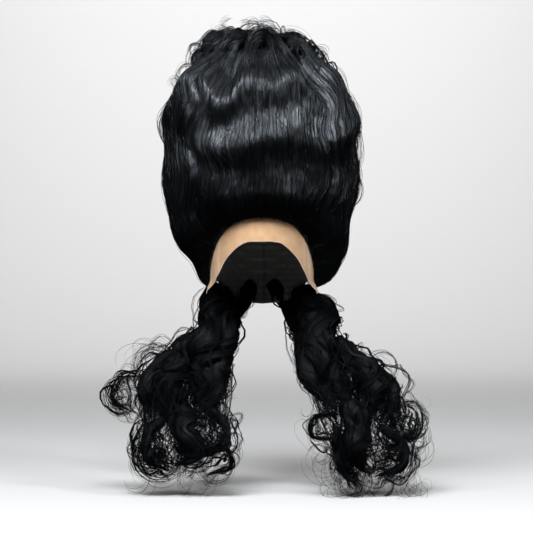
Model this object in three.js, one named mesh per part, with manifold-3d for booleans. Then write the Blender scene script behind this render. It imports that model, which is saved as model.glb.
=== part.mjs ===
// A tall beehive lace front wig: a close cap with a sheer lace front and ear tabs, a hollow
// beehive of four combed sections over it, curls on the crown, and a loose curled fall on each
// side that starts at the nape and comes forward past the neck.
// Millimetres, +Z up, the face looks along -Y. The origin is the crown of the head inside the cap.
import * as THREE from "three";
import Module from "manifold-3d";

// The head that the cap fits
const headHalfWidth = 76;
const headHalfDepth = 98;
const crownToWidest = 95;
const widestToNeck = 150;
const headSquareness = 2.4;

// Cloth walls, and the gap that every two pieces keep
const capWall = 1.6;
const laceWall = 1;
const clearance = 0.3;

// Beehive, measured from the crown of the head
const beehiveHeight = 222;
const beehiveHalfWidth = 143;
const beehiveFront = 122;
const beehiveBack = 140;
const beehiveLean = 12;
const beehiveSquareness = 2.15;
const rimDrop = 132;
const rimLip = 4;
const rimRoll = 34;
const ridgeCount = 8;
const ridgeDepth = 2.4;
const ridgeDrift = 70;
const waveDepth = 4.5;
const waveLength = 76;
const waveCrest = 62;
const partingAngle = 48;
const partingWave = 7;
const partingWaveLength = 105;

// Lace, from the crown of the head to the tip of the ear tabs
const tabDrop = 141;
const tabAngle = 82.5;

// Falls and crown curls
const fallReach = 188;
const fallForward = 158;
const fallDrop = 303;
const fallAngle = 126;
const fallStart = 0.9;
const fallGirth = 36;
const fallWave = 20;
const lockSwell = 0.1;
const lockSwells = 2;
const crownGirth = 16;
const crownWave = 12;

// Edges round the head by the angle from the face, in degrees, the same on both sides. hair is
// where the hair starts, lace the free edge of the lace, seam where the lace meets the cap, all
// as shares of tabDrop below the crown. roll is the share of rimRoll in which the hair swells.
const edges = [
  { angle: 0, hair: 0.235, lace: 0.475, seam: 0.12, roll: 1 },
  { angle: 20, hair: 0.252, lace: 0.493, seam: 0.124, roll: 1 },
  { angle: 40, hair: 0.322, lace: 0.64, seam: 0.142, roll: 1 },
  { angle: 50, hair: 0.412, lace: 0.755, seam: 0.213, roll: 0.9 },
  { angle: 58, hair: 0.508, lace: 0.837, seam: 0.32, roll: 0.76 },
  { angle: 66, hair: 0.63, lace: 0.9, seam: 0.454, roll: 0.6 },
  { angle: 74, hair: 0.78, lace: 0.965, seam: 0.624, roll: 0.45 },
  { angle: 80, hair: 0.893, lace: 1, seam: 0.71, roll: 0.4 },
  { angle: 85, hair: 0.93, lace: 0.96, seam: 0.752, roll: 0.4 },
  { angle: 95, hair: 0.936, lace: 0.97, seam: 0.766, roll: 0.45 },
  { angle: 110, hair: 0.91, lace: 0.97, seam: 0.81, roll: 0.5 },
  { angle: 130, hair: 0.88, lace: 0.97, seam: 0.965, roll: 0.6 },
  { angle: 150, hair: 0.86, lace: 0.97, seam: 1.085, roll: 0.7 },
  { angle: 180, hair: 0.85, lace: 0.97, seam: 1.12, roll: 0.75 },
];

// Level sections of the beehive, from the rim (-1) past the crown of the head (0) to the top (1).
// left and right are shares of beehiveHalfWidth, front of beehiveFront and back of beehiveBack.
const sections = [
  { level: -1, left: 0.57, right: 0.62, front: 0.8, back: 0.71 },
  { level: -0.85, left: 0.63, right: 0.72, front: 0.82, back: 0.8 },
  { level: -0.7, left: 0.69, right: 0.79, front: 0.84, back: 0.87 },
  { level: -0.56, left: 0.81, right: 0.845, front: 0.87, back: 0.93 },
  { level: -0.4, left: 0.895, right: 0.875, front: 0.89, back: 0.965 },
  { level: -0.2, left: 0.937, right: 0.9, front: 0.91, back: 0.99 },
  { level: 0, left: 0.965, right: 0.945, front: 0.945, back: 1 },
  { level: 0.1, left: 0.99, right: 0.97, front: 0.975, back: 1 },
  { level: 0.18, left: 0.986, right: 0.94, front: 0.992, back: 0.995 },
  { level: 0.27, left: 0.955, right: 0.932, front: 1, back: 0.985 },
  { level: 0.35, left: 0.96, right: 0.965, front: 0.985, back: 0.97 },
  { level: 0.45, left: 0.995, right: 0.935, front: 0.965, back: 0.94 },
  { level: 0.54, left: 0.995, right: 0.885, front: 0.95, back: 0.9 },
  { level: 0.62, left: 0.95, right: 0.825, front: 0.905, back: 0.845 },
  { level: 0.7, left: 0.853, right: 0.762, front: 0.83, back: 0.765 },
  { level: 0.79, left: 0.72, right: 0.68, front: 0.69, back: 0.65 },
  { level: 0.88, left: 0.62, right: 0.55, front: 0.56, back: 0.55 },
  { level: 0.946, left: 0.48, right: 0.42, front: 0.42, back: 0.42 },
  { level: 1, left: 0, right: 0, front: 0, back: 0 },
];

// Locks of the falls. side is -1 for the wearer's right and 1 for the left. root, bend, belly
// and tip are [out, forward, down] from the point behind the ear where the fall starts, as
// shares of fallReach, fallForward and fallDrop. girth and end are shares of fallGirth at the
// middle and the tip, and wave is the radius of the winding as a share of fallWave.
const falls = [
  { name: "right_fall_trunk", side: -1, root: [0, 0, 0.007], bend: [0.05, 0.24, 0.205],
    belly: [0.07, 0.44, 0.361], tip: [0.16, 0.72, 0.603], girth: 0.94, end: 0.7, wave: 0.35, turns: 1.5 },
  { name: "right_nape_sweep", side: -1, root: [-0.26, -0.27, -0.016], bend: [-0.16, -0.23, 0.078],
    belly: [-0.05, -0.05, 0.177], tip: [0, 0.18, 0.29], girth: 0.5, end: 0.4, wave: 0.1, turns: 1 },
  { name: "right_fall_inner_lock", side: -1, root: [-0.06, -0.01, 0.149], bend: [-0.03, 0.24, 0.262],
    belly: [0.02, 0.49, 0.432], tip: [0.06, 0.78, 0.659], girth: 0.66, end: 0.5, wave: 0.3, turns: 1.4 },
  { name: "right_fall_shoulder_lock", side: -1, root: [0.15, 0.3, 0.262], bend: [0.31, 0.46, 0.354],
    belly: [0.38, 0.57, 0.475], tip: [0.34, 0.78, 0.688], girth: 0.8, end: 0.5, wave: 0.2, turns: 1.2 },
  { name: "right_fall_outer_lock", side: -1, root: [0.27, 0.4, 0.333], bend: [0.47, 0.53, 0.376],
    belly: [0.55, 0.65, 0.489], tip: [0.49, 0.76, 0.631], girth: 0.56, end: 0.35, wave: 0.15, turns: 1.1 },
  { name: "right_fall_outer_curl", side: -1, root: [0.57, 0.63, 0.432], bend: [0.75, 0.62, 0.439],
    belly: [0.81, 0.66, 0.539], tip: [0.65, 0.7, 0.603], girth: 0.22, end: 0.12, wave: 0.1, turns: 1 },
  { name: "right_fall_lower_lock", side: -1, root: [0.22, 0.8, 0.574], bend: [0.27, 0.89, 0.688],
    belly: [0.2, 0.94, 0.787], tip: [0.3, 0.97, 0.844], girth: 0.66, end: 0.35, wave: 0.1, turns: 1 },
  { name: "right_fall_bottom_lock", side: -1, root: [0.4, 0.8, 0.631], bend: [0.53, 0.86, 0.695],
    belly: [0.53, 0.91, 0.801], tip: [0.34, 0.94, 0.865], girth: 0.48, end: 0.25, wave: 0.1, turns: 1 },
  { name: "right_fall_chest_lock", side: -1, root: [0.04, 0.81, 0.574], bend: [-0.05, 0.9, 0.659],
    belly: [-0.02, 0.95, 0.745], tip: [0.14, 0.99, 0.801], girth: 0.36, end: 0.18, wave: 0.15, turns: 1 },
  { name: "right_fall_chest_curl", side: -1, root: [0.11, 0.98, 0.787], bend: [-0.06, 0.99, 0.759],
    belly: [-0.1, 0.99, 0.837], tip: [0.08, 1, 0.879], girth: 0.12, end: 0.07, wave: 0, turns: 1 },
  { name: "left_fall_trunk", side: 1, root: [0, 0, 0.007], bend: [0.07, 0.19, 0.191],
    belly: [0.16, 0.43, 0.361], tip: [0.3, 0.67, 0.574], girth: 0.94, end: 0.75, wave: 0.35, turns: 1.5 },
  { name: "left_nape_sweep", side: 1, root: [-0.26, -0.27, -0.016], bend: [-0.16, -0.23, 0.078],
    belly: [-0.05, -0.05, 0.177], tip: [0.02, 0.18, 0.29], girth: 0.5, end: 0.4, wave: 0.1, turns: 1 },
  { name: "left_fall_inner_lock", side: 1, root: [-0.06, -0.01, 0.149], bend: [0, 0.21, 0.234],
    belly: [0.08, 0.46, 0.404], tip: [0.22, 0.73, 0.603], girth: 0.64, end: 0.5, wave: 0.3, turns: 1.4 },
  { name: "left_fall_shoulder_lock", side: 1, root: [0.2, 0.3, 0.276], bend: [0.4, 0.46, 0.39],
    belly: [0.52, 0.59, 0.503], tip: [0.49, 0.76, 0.659], girth: 0.74, end: 0.5, wave: 0.2, turns: 1.2 },
  { name: "left_fall_outer_lock", side: 1, root: [0.47, 0.46, 0.418], bend: [0.61, 0.59, 0.461],
    belly: [0.67, 0.67, 0.546], tip: [0.63, 0.76, 0.659], girth: 0.46, end: 0.3, wave: 0.15, turns: 1.1 },
  { name: "left_fall_outer_curl", side: 1, root: [0.65, 0.68, 0.546], bend: [0.81, 0.73, 0.574],
    belly: [0.83, 0.78, 0.688], tip: [0.68, 0.82, 0.759], girth: 0.34, end: 0.18, wave: 0.2, turns: 1 },
  { name: "left_fall_lower_lock", side: 1, root: [0.32, 0.72, 0.546], bend: [0.39, 0.84, 0.674],
    belly: [0.38, 0.92, 0.773], tip: [0.45, 0.96, 0.879], girth: 0.74, end: 0.4, wave: 0, turns: 1 },
  { name: "left_fall_bottom_lock", side: 1, root: [0.55, 0.8, 0.659], bend: [0.71, 0.85, 0.737],
    belly: [0.71, 0.89, 0.844], tip: [0.51, 0.91, 0.901], girth: 0.46, end: 0.22, wave: 0.1, turns: 1 },
  { name: "left_fall_chest_lock", side: 1, root: [0.24, 0.86, 0.659], bend: [0.23, 0.94, 0.787],
    belly: [0.27, 0.97, 0.858], tip: [0.4, 0.99, 0.929], girth: 0.36, end: 0.16, wave: 0.15, turns: 1 },
  { name: "left_fall_chest_curl", side: 1, root: [0.28, 0.86, 0.605], bend: [0.06, 0.96, 0.617],
    belly: [0.04, 0.97, 0.702], tip: [0.2, 0.98, 0.716], girth: 0.12, end: 0.07, wave: 0, turns: 1 },
];

// Curls on the crown. root, bend, belly and tip are [angle, level, lift]: a place on the
// beehive, as its sections give it, and how far the curl's line lies off it. lift, girth and
// end are shares of crownGirth.
const crown = [
  { name: "crown_curl_top_right", root: [-140, 0.975, 0.1], bend: [-90, 0.967, 0.88],
    belly: [-74, 0.946, 0.7], tip: [-63, 0.861, 0.06], girth: 1.06, end: 0.562, wave: 0.3, turns: 1.2 },
  { name: "crown_curl_far_right", root: [-118, 0.945, -0.4], bend: [-94, 0.922, 0.23],
    belly: [-78, 0.881, 0.03], tip: [-61, 0.766, 0], girth: 0.938, end: 0.5, wave: 0.3, turns: 1.2 },
  { name: "crown_curl_side_right", root: [-98, 0.867, -0.49], bend: [-83, 0.815, -0.08],
    belly: [-74, 0.753, -0.3], tip: [-67, 0.664, -0.4], girth: 0.688, end: 0.375, wave: 0.2, turns: 1 },
  { name: "crown_curl_middle", root: [-174, 0.986, 0.07], bend: [-74, 0.986, 0.83],
    belly: [-50, 0.958, 0.61], tip: [-36, 0.883, 0], girth: 1, end: 0.5, wave: 0.3, turns: 1.2 },
  { name: "crown_curl_front", root: [115, 0.98, 0.15], bend: [20, 0.986, 0.95],
    belly: [-10, 0.957, 0.49], tip: [-4, 0.88, -0.09], girth: 0.938, end: 0.5, wave: 0.3, turns: 1.2 },
  { name: "crown_curl_top_left", root: [119, 0.968, 0.08], bend: [76, 0.967, 0.73],
    belly: [52, 0.946, 0.26], tip: [47, 0.849, -0.04], girth: 0.875, end: 0.438, wave: 0.3, turns: 1.2 },
  { name: "crown_curl_far_left", root: [116, 0.954, -0.25], bend: [86, 0.943, 0.18],
    belly: [69, 0.895, -0.06], tip: [59, 0.774, 0.02], girth: 0.812, end: 0.438, wave: 0.3, turns: 1.2 },
  { name: "crown_curl_side_left", root: [107, 0.924, -0.79], bend: [86, 0.868, -0.35],
    belly: [76, 0.788, -0.25], tip: [68, 0.662, -0.11], girth: 0.875, end: 0.438, wave: 0.2, turns: 1 },
  { name: "crown_curl_back_right", root: [-153, 0.964, 0], bend: [-145, 0.882, 0.16],
    belly: [-155, 0.786, 0.3], tip: [-169, 0.691, -0.33], girth: 1, end: 0.5, wave: 0.3, turns: 1.2 },
  { name: "crown_curl_back_middle", root: [180, 0.97, 0.18], bend: [175, 0.921, 0.1],
    belly: [-176, 0.814, 0.42], tip: [179, 0.704, 0.16], girth: 0.938, end: 0.5, wave: 0.3, turns: 1.2 },
  { name: "crown_curl_back_left", root: [154, 0.964, 0], bend: [143, 0.889, 0.05],
    belly: [150, 0.786, 0.3], tip: [161, 0.681, -0.34], girth: 1, end: 0.5, wave: 0.3, turns: 1.2 },
];

// Fineness of the meshes
const beehiveColumns = 40;
const beehiveRows = 20;
const capColumns = 48;
const capRows = 5;
const browRows = 10;
const laceColumns = 22;
const laceRows = 3;
const thickSides = 6;
const thinSides = 5;
const thickFrom = 20;
const lockSteps = 8;
const chordDip = 0.9;
const flatness = 0.15;

const wasm = await Module();
wasm.setup();

// A value from a table at a place between its rows, on a smooth curve through them.
function sample(table, key, column, place) {
  const last = table.length - 1;
  const at = THREE.MathUtils.clamp(place, table[0][key], table[last][key]);
  let i = 0;
  while (i < last - 1 && table[i + 1][key] < at) i += 1;
  const slope = (j) => {
    const a = table[Math.max(0, j - 1)];
    const b = table[Math.min(last, j + 1)];
    return (b[column] - a[column]) / (b[key] - a[key]);
  };
  const [low, high] = [table[i], table[i + 1]];
  const run = high[key] - low[key];
  const t = (at - low[key]) / run;
  return (
    (2 * t ** 3 - 3 * t ** 2 + 1) * low[column] +
    (t ** 3 - 2 * t ** 2 + t) * run * slope(i) +
    (3 * t ** 2 - 2 * t ** 3) * high[column] +
    (t ** 3 - t ** 2) * run * slope(i + 1)
  );
}

// Degrees from the face, 0 to 180 on either side.
function fromFace(angle) {
  const turned = Math.abs(THREE.MathUtils.euclideanModulo(angle + 180, 360) - 180);
  return turned;
}

function edgeHeight(column, angle) {
  return -tabDrop * sample(edges, "angle", column, fromFace(angle));
}

// A point on the head at a height, set off outwards; the face is at angle 0 and +X at 90.
function headPoint(angle, height, offset) {
  const reach = height > -crownToWidest ? crownToWidest + offset : widestToNeck;
  const squareness = height > -crownToWidest ? headSquareness : 2;
  const share = Math.min(1, Math.abs(height + crownToWidest) / reach);
  const narrowing = (1 - share ** squareness) ** (1 / squareness);
  const a = THREE.MathUtils.degToRad(angle);
  return new THREE.Vector3(
    (headHalfWidth + offset) * narrowing * Math.sin(a),
    -(headHalfDepth + offset) * narrowing * Math.cos(a),
    height,
  );
}

// How far the broad level waves push the hair out: most at the front, less towards the back,
// none where the hair rolls under at the rim or runs into the curls on top.
function levelWave(ahead, height) {
  const facing = 0.35 + 0.65 * Math.max(0, ahead) ** 2;
  const lowest = THREE.MathUtils.smoothstep(height, -rimRoll, waveCrest - waveLength / 4);
  const highest = 1 - THREE.MathUtils.smoothstep(height, waveCrest + waveLength * 1.2, beehiveHeight * 0.9);
  const phase = (2 * Math.PI * (height - waveCrest)) / waveLength;
  return waveDepth * facing * lowest * highest * Math.cos(phase);
}

// The beehive's combed surface at an angle and height.
function beehivePoint(angle, height) {
  const level = height < 0 ? height / rimDrop : height / beehiveHeight;
  const a = THREE.MathUtils.degToRad(angle);
  const [across, ahead] = [Math.sin(a), Math.cos(a)];
  const wide = beehiveHalfWidth * sample(sections, "level", across < 0 ? "left" : "right", level);
  const deep = ahead > 0
    ? beehiveFront * sample(sections, "level", "front", level)
    : beehiveBack * sample(sections, "level", "back", level);
  const n = beehiveSquareness;
  const full = level >= 1 ? 0 : ((Math.abs(across) / wide) ** n + (Math.abs(ahead) / deep) ** n) ** (-1 / n);
  const drift = ridgeDrift * Math.sin(2 * Math.PI * level);
  const ridge = ridgeDepth * Math.sin(THREE.MathUtils.degToRad(ridgeCount * angle + drift));
  const rim = edgeHeight("hair", angle);
  const roll = rimRoll * sample(edges, "angle", "roll", fromFace(angle));
  const rise = THREE.MathUtils.clamp((height - rim) / roll, 0, 1);
  const start = headPoint(angle, Math.min(height, 0), capWall + clearance + rimLip);
  const least = Math.hypot(start.x, start.y);
  const swell = Math.sqrt(1 - (1 - rise) ** 2);
  const swept = full + ridge + levelWave(ahead, height);
  const radius = full === 0 ? 0 : least + (swept - least) * swell;
  const lean = beehiveLean * Math.max(0, level) ** 2;
  return new THREE.Vector3(radius * across, lean - radius * ahead, height);
}

// A closed solid skinned over rings of points, with a point that closes each end.
function skinned(rings, firstPole, lastPole) {
  const positions = [firstPole, ...rings.flat(), lastPole].flatMap((p) => [p.x, p.y, p.z]);
  const around = rings[0].length;
  const vertex = (ring, i) => 1 + ring * around + (i % around);
  const end = 1 + rings.length * around;
  const faces = [];
  for (let i = 0; i < around; i += 1) {
    faces.push(0, vertex(0, i), vertex(0, i + 1));
    for (let r = 0; r < rings.length - 1; r += 1) {
      faces.push(vertex(r, i), vertex(r + 1, i), vertex(r + 1, i + 1));
      faces.push(vertex(r, i), vertex(r + 1, i + 1), vertex(r, i + 1));
    }
    faces.push(end, vertex(rings.length - 1, i + 1), vertex(rings.length - 1, i));
  }
  const geometry = new THREE.BufferGeometry();
  geometry.setAttribute("position", new THREE.Float32BufferAttribute(positions, 3));
  geometry.setIndex(faces);
  return toSolid(geometry);
}

function toSolid(geometry) {
  const solid = new wasm.Manifold(
    new wasm.Mesh({
      numProp: 3,
      vertProperties: new Float32Array(geometry.getAttribute("position").array),
      triVerts: new Uint32Array(geometry.index.array),
    }),
  );
  if (solid.volume() > 0) return solid;
  const turned = geometry.index.array.slice();
  for (let i = 0; i < turned.length; i += 3) {
    [turned[i + 1], turned[i + 2]] = [turned[i + 2], turned[i + 1]];
  }
  geometry.setIndex([...turned]);
  return toSolid(geometry);
}

// The biggest connected part of a solid.
function mainBody(solid) {
  return solid.decompose().sort((a, b) => b.volume() - a.volume())[0];
}

function toGeometry(solid) {
  const mesh = solid.getMesh();
  const positions = new Float32Array(mesh.numVert * 3);
  for (let i = 0; i < mesh.numVert; i += 1) {
    positions.set(mesh.vertProperties.subarray(i * mesh.numProp, i * mesh.numProp + 3), i * 3);
  }
  const geometry = new THREE.BufferGeometry();
  geometry.setAttribute("position", new THREE.BufferAttribute(positions, 3));
  geometry.setIndex(new THREE.BufferAttribute(mesh.triVerts, 1));
  geometry.computeVertexNormals();
  return geometry;
}

const columnAngles = (count) => Array.from({ length: count }, (_, i) => (360 * i) / count);
const easedShares = (count) =>
  Array.from({ length: count }, (_, i) => (1 - Math.cos((Math.PI * i) / count)) / 2);

// Rings of the head's form from the crown down to the cap's edge, a little off the surface.
function capRings(offset, columns) {
  const shares = easedShares(capRows).slice(1).concat(1);
  return shares.map((share) =>
    columnAngles(columns).map((angle) => {
      const edge = edgeHeight("seam", angle) + clearance;
      return headPoint(angle, offset + (edge - offset) * share, offset);
    }),
  );
}

// The cap: an outer skin from the crown down to its edge, and back up on the inside.
function capSolid() {
  const rings = [...capRings(capWall, capColumns), ...capRings(0, capColumns).reverse()];
  return skinned(rings, new THREE.Vector3(0, 0, capWall), new THREE.Vector3(0, 0, 0));
}

// The whole space that the head and cap take, for cutting what lies against them.
function headSpace(columns, spare) {
  const offset = capWall + clearance + spare;
  const bottom = -crownToWidest - widestToNeck * 0.97;
  const upper = capRings(offset, columns);
  const lower = Array.from({ length: browRows }, (_, row) =>
    upper[capRows - 1].map((p, i) => {
      const height = p.z + (bottom - p.z) * ((row + 1) / browRows) ** 1.5;
      return headPoint((360 * i) / columns, height, offset);
    }),
  );
  return skinned([...upper, ...lower], new THREE.Vector3(0, 0, offset), new THREE.Vector3(0, 0, bottom));
}

// The lace front: a thin strip round the face, one closed cross-section for each angle.
function laceSolid() {
  const rings = Array.from({ length: laceColumns + 1 }, (_, i) => {
    const angle = -tabAngle + (2 * tabAngle * i) / laceColumns;
    const low = edgeHeight("lace", angle);
    const high = edgeHeight("seam", angle);
    const heights = Array.from({ length: laceRows + 1 }, (_, j) => low + ((high - low) * j) / laceRows);
    const outside = heights.map((h) => headPoint(angle, h, laceWall));
    const inside = heights.map((h) => headPoint(angle, h, 0)).reverse();
    return [...outside, ...inside];
  });
  const middle = (ring) => ring.reduce((sum, p) => sum.add(p), new THREE.Vector3()).divideScalar(ring.length);
  return skinned(rings, middle(rings[0]), middle(rings[laceColumns]));
}

// A point moved away from the middle of the beehive.
function outwards(point, distance) {
  const middle = new THREE.Vector3(0, beehiveLean / 2, beehiveHeight * 0.3);
  return point.addScaledVector(point.clone().sub(middle).normalize(), distance);
}

// The beehive's whole form, filled, from its top to the rim at the hairline.
function beehiveForm(grow) {
  const evenness = 0.5;
  const rings = easedShares(beehiveRows)
    .map((share, row) => THREE.MathUtils.lerp(share, row / beehiveRows, evenness))
    .slice(1)
    .concat(1)
    .map((share) =>
      columnAngles(beehiveColumns).map((angle) => {
        const height = beehiveHeight + (edgeHeight("hair", angle) - beehiveHeight) * share;
        return outwards(beehivePoint(angle, height), grow);
      }),
    );
  const top = new THREE.Vector3(0, beehiveLean, beehiveHeight);
  return skinned(rings, outwards(top, grow), outwards(new THREE.Vector3(0, 0, -rimDrop), grow));
}

// A thin wavy sheet through the axis of the beehive, which parts two sections of hair.
function parting(angle) {
  const far = beehiveHalfWidth * 1.5;
  const [low, high] = [-rimDrop * 1.5, beehiveHeight * 1.2];
  const steps = 24;
  const line = Array.from({ length: steps + 1 }, (_, i) => {
    const z = low + ((high - low) * i) / steps;
    return new THREE.Vector2(partingWave * Math.sin((2 * Math.PI * z) / partingWaveLength), z);
  });
  const shape = new THREE.Shape([
    ...line.map((p) => new THREE.Vector2(p.x - clearance / 2, p.y)),
    ...line.reverse().map((p) => new THREE.Vector2(p.x + clearance / 2, p.y)),
  ]);
  const geometry = new THREE.ExtrudeGeometry(shape, { depth: 2 * far, bevelEnabled: false });
  geometry.translate(0, 0, -far);
  geometry.rotateX(Math.PI / 2);
  geometry.rotateZ(THREE.MathUtils.degToRad(angle));
  return weldedSolid(geometry);
}

function weldedSolid(geometry) {
  const position = geometry.getAttribute("position");
  const seen = new Map();
  const vertices = [];
  const faces = [];
  for (let i = 0; i < position.count; i += 1) {
    const p = [position.getX(i), position.getY(i), position.getZ(i)];
    const key = p.map((v) => Math.round(v * 1e3)).join(" ");
    if (!seen.has(key)) {
      seen.set(key, vertices.length / 3);
      vertices.push(...p);
    }
    faces.push(seen.get(key));
  }
  const welded = new THREE.BufferGeometry();
  welded.setAttribute("position", new THREE.Float32BufferAttribute(vertices, 3));
  welded.setIndex(faces);
  return toSolid(welded);
}

// The line that a lock follows: a bent line from root to tip, wound into a wave.
class LockCurve extends THREE.Curve {
  constructor(points, radius, turns) {
    super();
    this.spine = new THREE.CatmullRomCurve3(points, false, "centripetal");
    this.radius = radius;
    this.turns = turns;
  }

  getPoint(t, target = new THREE.Vector3()) {
    const along = this.spine.getTangent(t);
    const side = new THREE.Vector3(0, 1, 0).cross(along).normalize();
    const out = along.clone().cross(side);
    const turn = 2 * Math.PI * this.turns * t;
    const reach = this.radius * Math.sin(Math.min(1, 2.5 * t) * (Math.PI / 2));
    return target
      .copy(this.spine.getPoint(t))
      .addScaledVector(side, reach * Math.cos(turn))
      .addScaledVector(out, reach * Math.sin(turn));
  }
}

// A lock as a tapered tube along its line: slim at the root, full in the middle, fine at the tip.
function lockSolid({ curve, girth, end, sides }, grow) {
  const frames = curve.computeFrenetFrames(lockSteps, false);
  const rings = Array.from({ length: lockSteps + 1 }, (_, i) => {
    const t = i / lockSteps;
    const swell = 1 + lockSwell * Math.sin(2 * Math.PI * lockSwells * t);
    const fullness = swell * (0.6 + 0.4 * Math.sin((Math.min(1, t / 0.35) * Math.PI) / 2));
    const taper = THREE.MathUtils.lerp(girth, end, THREE.MathUtils.smoothstep(t, 0.45, 1));
    const radius = fullness * taper + grow;
    const centre = curve.getPointAt(t);
    return Array.from({ length: sides }, (_, j) => {
      const a = (2 * Math.PI * j) / sides;
      return centre
        .clone()
        .addScaledVector(frames.normals[i], radius * Math.cos(a))
        .addScaledVector(frames.binormals[i], radius * Math.sin(a));
    });
  });
  const close = (t, i, way) =>
    curve.getPointAt(t).addScaledVector(frames.tangents[i], way * (0.5 * (t ? end : girth) + grow));
  return skinned(rings, close(0, 0, -1), close(1, lockSteps, 1));
}

function makeLock(row, place, girthUnit, waveUnit) {
  const points = [row.root, row.bend, row.belly, row.tip].map(place);
  return {
    name: row.name,
    curve: new LockCurve(points, row.wave * waveUnit, row.turns),
    girth: row.girth * girthUnit,
    end: row.end * girthUnit,
    sides: row.girth * girthUnit > thickFrom ? thickSides : thinSides,
  };
}

function fallLock(row) {
  const start = headPoint(row.side * fallAngle, -fallStart * tabDrop, capWall + clearance);
  const place = ([out, forward, down]) =>
    new THREE.Vector3(row.side * out * fallReach, -forward * fallForward, -down * fallDrop).add(start);
  return makeLock(row, place, fallGirth, fallWave);
}

function crownLock(row) {
  const place = ([angle, level, lift]) =>
    outwards(beehivePoint(angle, level * beehiveHeight), lift * crownGirth);
  return makeLock(row, place, crownGirth, crownWave);
}

// Locks in turn, each cut to lie against what it meets: the base first, then earlier locks.
function seatedLocks(locks, bases) {
  const grown = [];
  return locks.map((lock) => {
    let solid = lockSolid(lock, 0);
    for (const other of [...bases, ...grown]) solid = solid.subtract(other);
    grown.push(lockSolid(lock, clearance));
    return { name: lock.name, solid: mainBody(solid).simplify(flatness) };
  });
}

// Four sections of the beehive, told apart by which way each one lies from the axis.
function beehiveParts() {
  const hollow = beehiveForm(0).subtract(headSpace(capColumns, 0));
  const parted = hollow.subtract(parting(partingAngle)).subtract(parting(-partingAngle));
  const bodies = parted.decompose().sort((a, b) => b.volume() - a.volume()).slice(0, 4);
  const middle = (solid) => {
    const { min, max } = solid.boundingBox();
    return [(min[0] + max[0]) / 2, (min[1] + max[1]) / 2];
  };
  const ways = [
    ["beehive_front_swoop", ([, y]) => -y],
    ["beehive_back_sweep", ([, y]) => y],
    ["beehive_right_wave", ([x]) => -x],
    ["beehive_left_wave", ([x]) => x],
  ];
  return ways.map(([name, way]) => ({
    name,
    solid: bodies.reduce((best, b) => (way(middle(b)) > way(middle(best)) ? b : best)).simplify(flatness),
  }));
}

const hair = new THREE.MeshStandardMaterial({ color: 0x07080b, roughness: 0.4, metalness: 0 });
const lace = new THREE.MeshStandardMaterial({ color: 0xc9a48a, roughness: 0.7, metalness: 0 });
const capCloth = new THREE.MeshStandardMaterial({ color: 0x15120f, roughness: 0.85, metalness: 0 });

const wig = new THREE.Group();

function addPiece({ name, solid }, material) {
  const mesh = new THREE.Mesh(toGeometry(solid), material);
  mesh.name = name;
  wig.add(mesh);
}

const beehiveSeat = beehiveForm(clearance);
const bases = [beehiveSeat, headSpace(capColumns / 2, chordDip)];
addPiece({ name: "wig_cap", solid: capSolid() }, capCloth);
addPiece({ name: "lace_front", solid: laceSolid() }, lace);
for (const piece of beehiveParts()) addPiece(piece, hair);
for (const piece of seatedLocks(crown.map(crownLock), [beehiveSeat])) addPiece(piece, hair);
for (const piece of seatedLocks(falls.map(fallLock), bases)) addPiece(piece, hair);

export default wig;
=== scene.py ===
"""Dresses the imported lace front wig: combed beehive, crown curls, curled falls, lace and cap."""

import math

import bmesh
import bpy
import numpy as np
from bpy.props import FloatProperty, FloatVectorProperty, IntProperty, PointerProperty
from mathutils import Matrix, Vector


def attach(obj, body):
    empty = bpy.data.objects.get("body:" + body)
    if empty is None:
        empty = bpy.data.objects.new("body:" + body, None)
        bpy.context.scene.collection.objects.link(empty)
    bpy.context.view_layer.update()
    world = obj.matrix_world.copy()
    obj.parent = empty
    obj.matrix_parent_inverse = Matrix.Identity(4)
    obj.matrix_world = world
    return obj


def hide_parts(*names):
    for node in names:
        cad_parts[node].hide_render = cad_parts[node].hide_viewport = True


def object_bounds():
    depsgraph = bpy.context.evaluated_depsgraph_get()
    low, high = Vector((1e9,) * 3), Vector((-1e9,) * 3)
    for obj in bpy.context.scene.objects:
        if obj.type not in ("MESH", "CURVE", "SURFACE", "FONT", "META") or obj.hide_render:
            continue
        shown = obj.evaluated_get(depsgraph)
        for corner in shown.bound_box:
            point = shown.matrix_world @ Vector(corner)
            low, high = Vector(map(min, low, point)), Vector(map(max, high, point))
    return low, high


bl_info = {
    "name": "Lace Front Wig",
    "version": (1, 0, 0),
    "blender": (4, 5, 0),
    "location": "View3D > Sidebar > Wig",
    "description": "Builds the hair, the lace and the cap of a beehive wig round its packed solids",
    "category": "Object",
}

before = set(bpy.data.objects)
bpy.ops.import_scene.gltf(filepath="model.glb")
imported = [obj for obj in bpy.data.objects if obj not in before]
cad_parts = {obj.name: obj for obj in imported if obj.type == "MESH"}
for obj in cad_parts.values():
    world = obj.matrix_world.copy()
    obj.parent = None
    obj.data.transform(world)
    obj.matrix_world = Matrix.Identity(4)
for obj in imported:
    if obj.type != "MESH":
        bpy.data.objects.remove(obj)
cad_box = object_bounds()

BODY = "root"

# Edges round the head by the angle from the face in degrees: hairline, free edge of the lace and
# seam of the lace with the cap as shares of tab_drop, and the share of rim_roll.
HAIRLINE, LACE_EDGE, SEAM, ROLL = 1, 2, 3, 4
EDGES = np.array([
    (0, 0.235, 0.475, 0.12, 1),
    (20, 0.252, 0.493, 0.124, 1),
    (40, 0.322, 0.64, 0.142, 1),
    (50, 0.412, 0.755, 0.213, 0.9),
    (58, 0.508, 0.837, 0.32, 0.76),
    (66, 0.63, 0.9, 0.454, 0.6),
    (74, 0.78, 0.965, 0.624, 0.45),
    (80, 0.893, 1, 0.71, 0.4),
    (85, 0.93, 0.96, 0.752, 0.4),
    (95, 0.936, 0.97, 0.766, 0.45),
    (110, 0.91, 0.97, 0.81, 0.5),
    (130, 0.88, 0.97, 0.965, 0.6),
    (150, 0.86, 0.97, 1.085, 0.7),
    (180, 0.85, 0.97, 1.12, 0.75),
])

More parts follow.
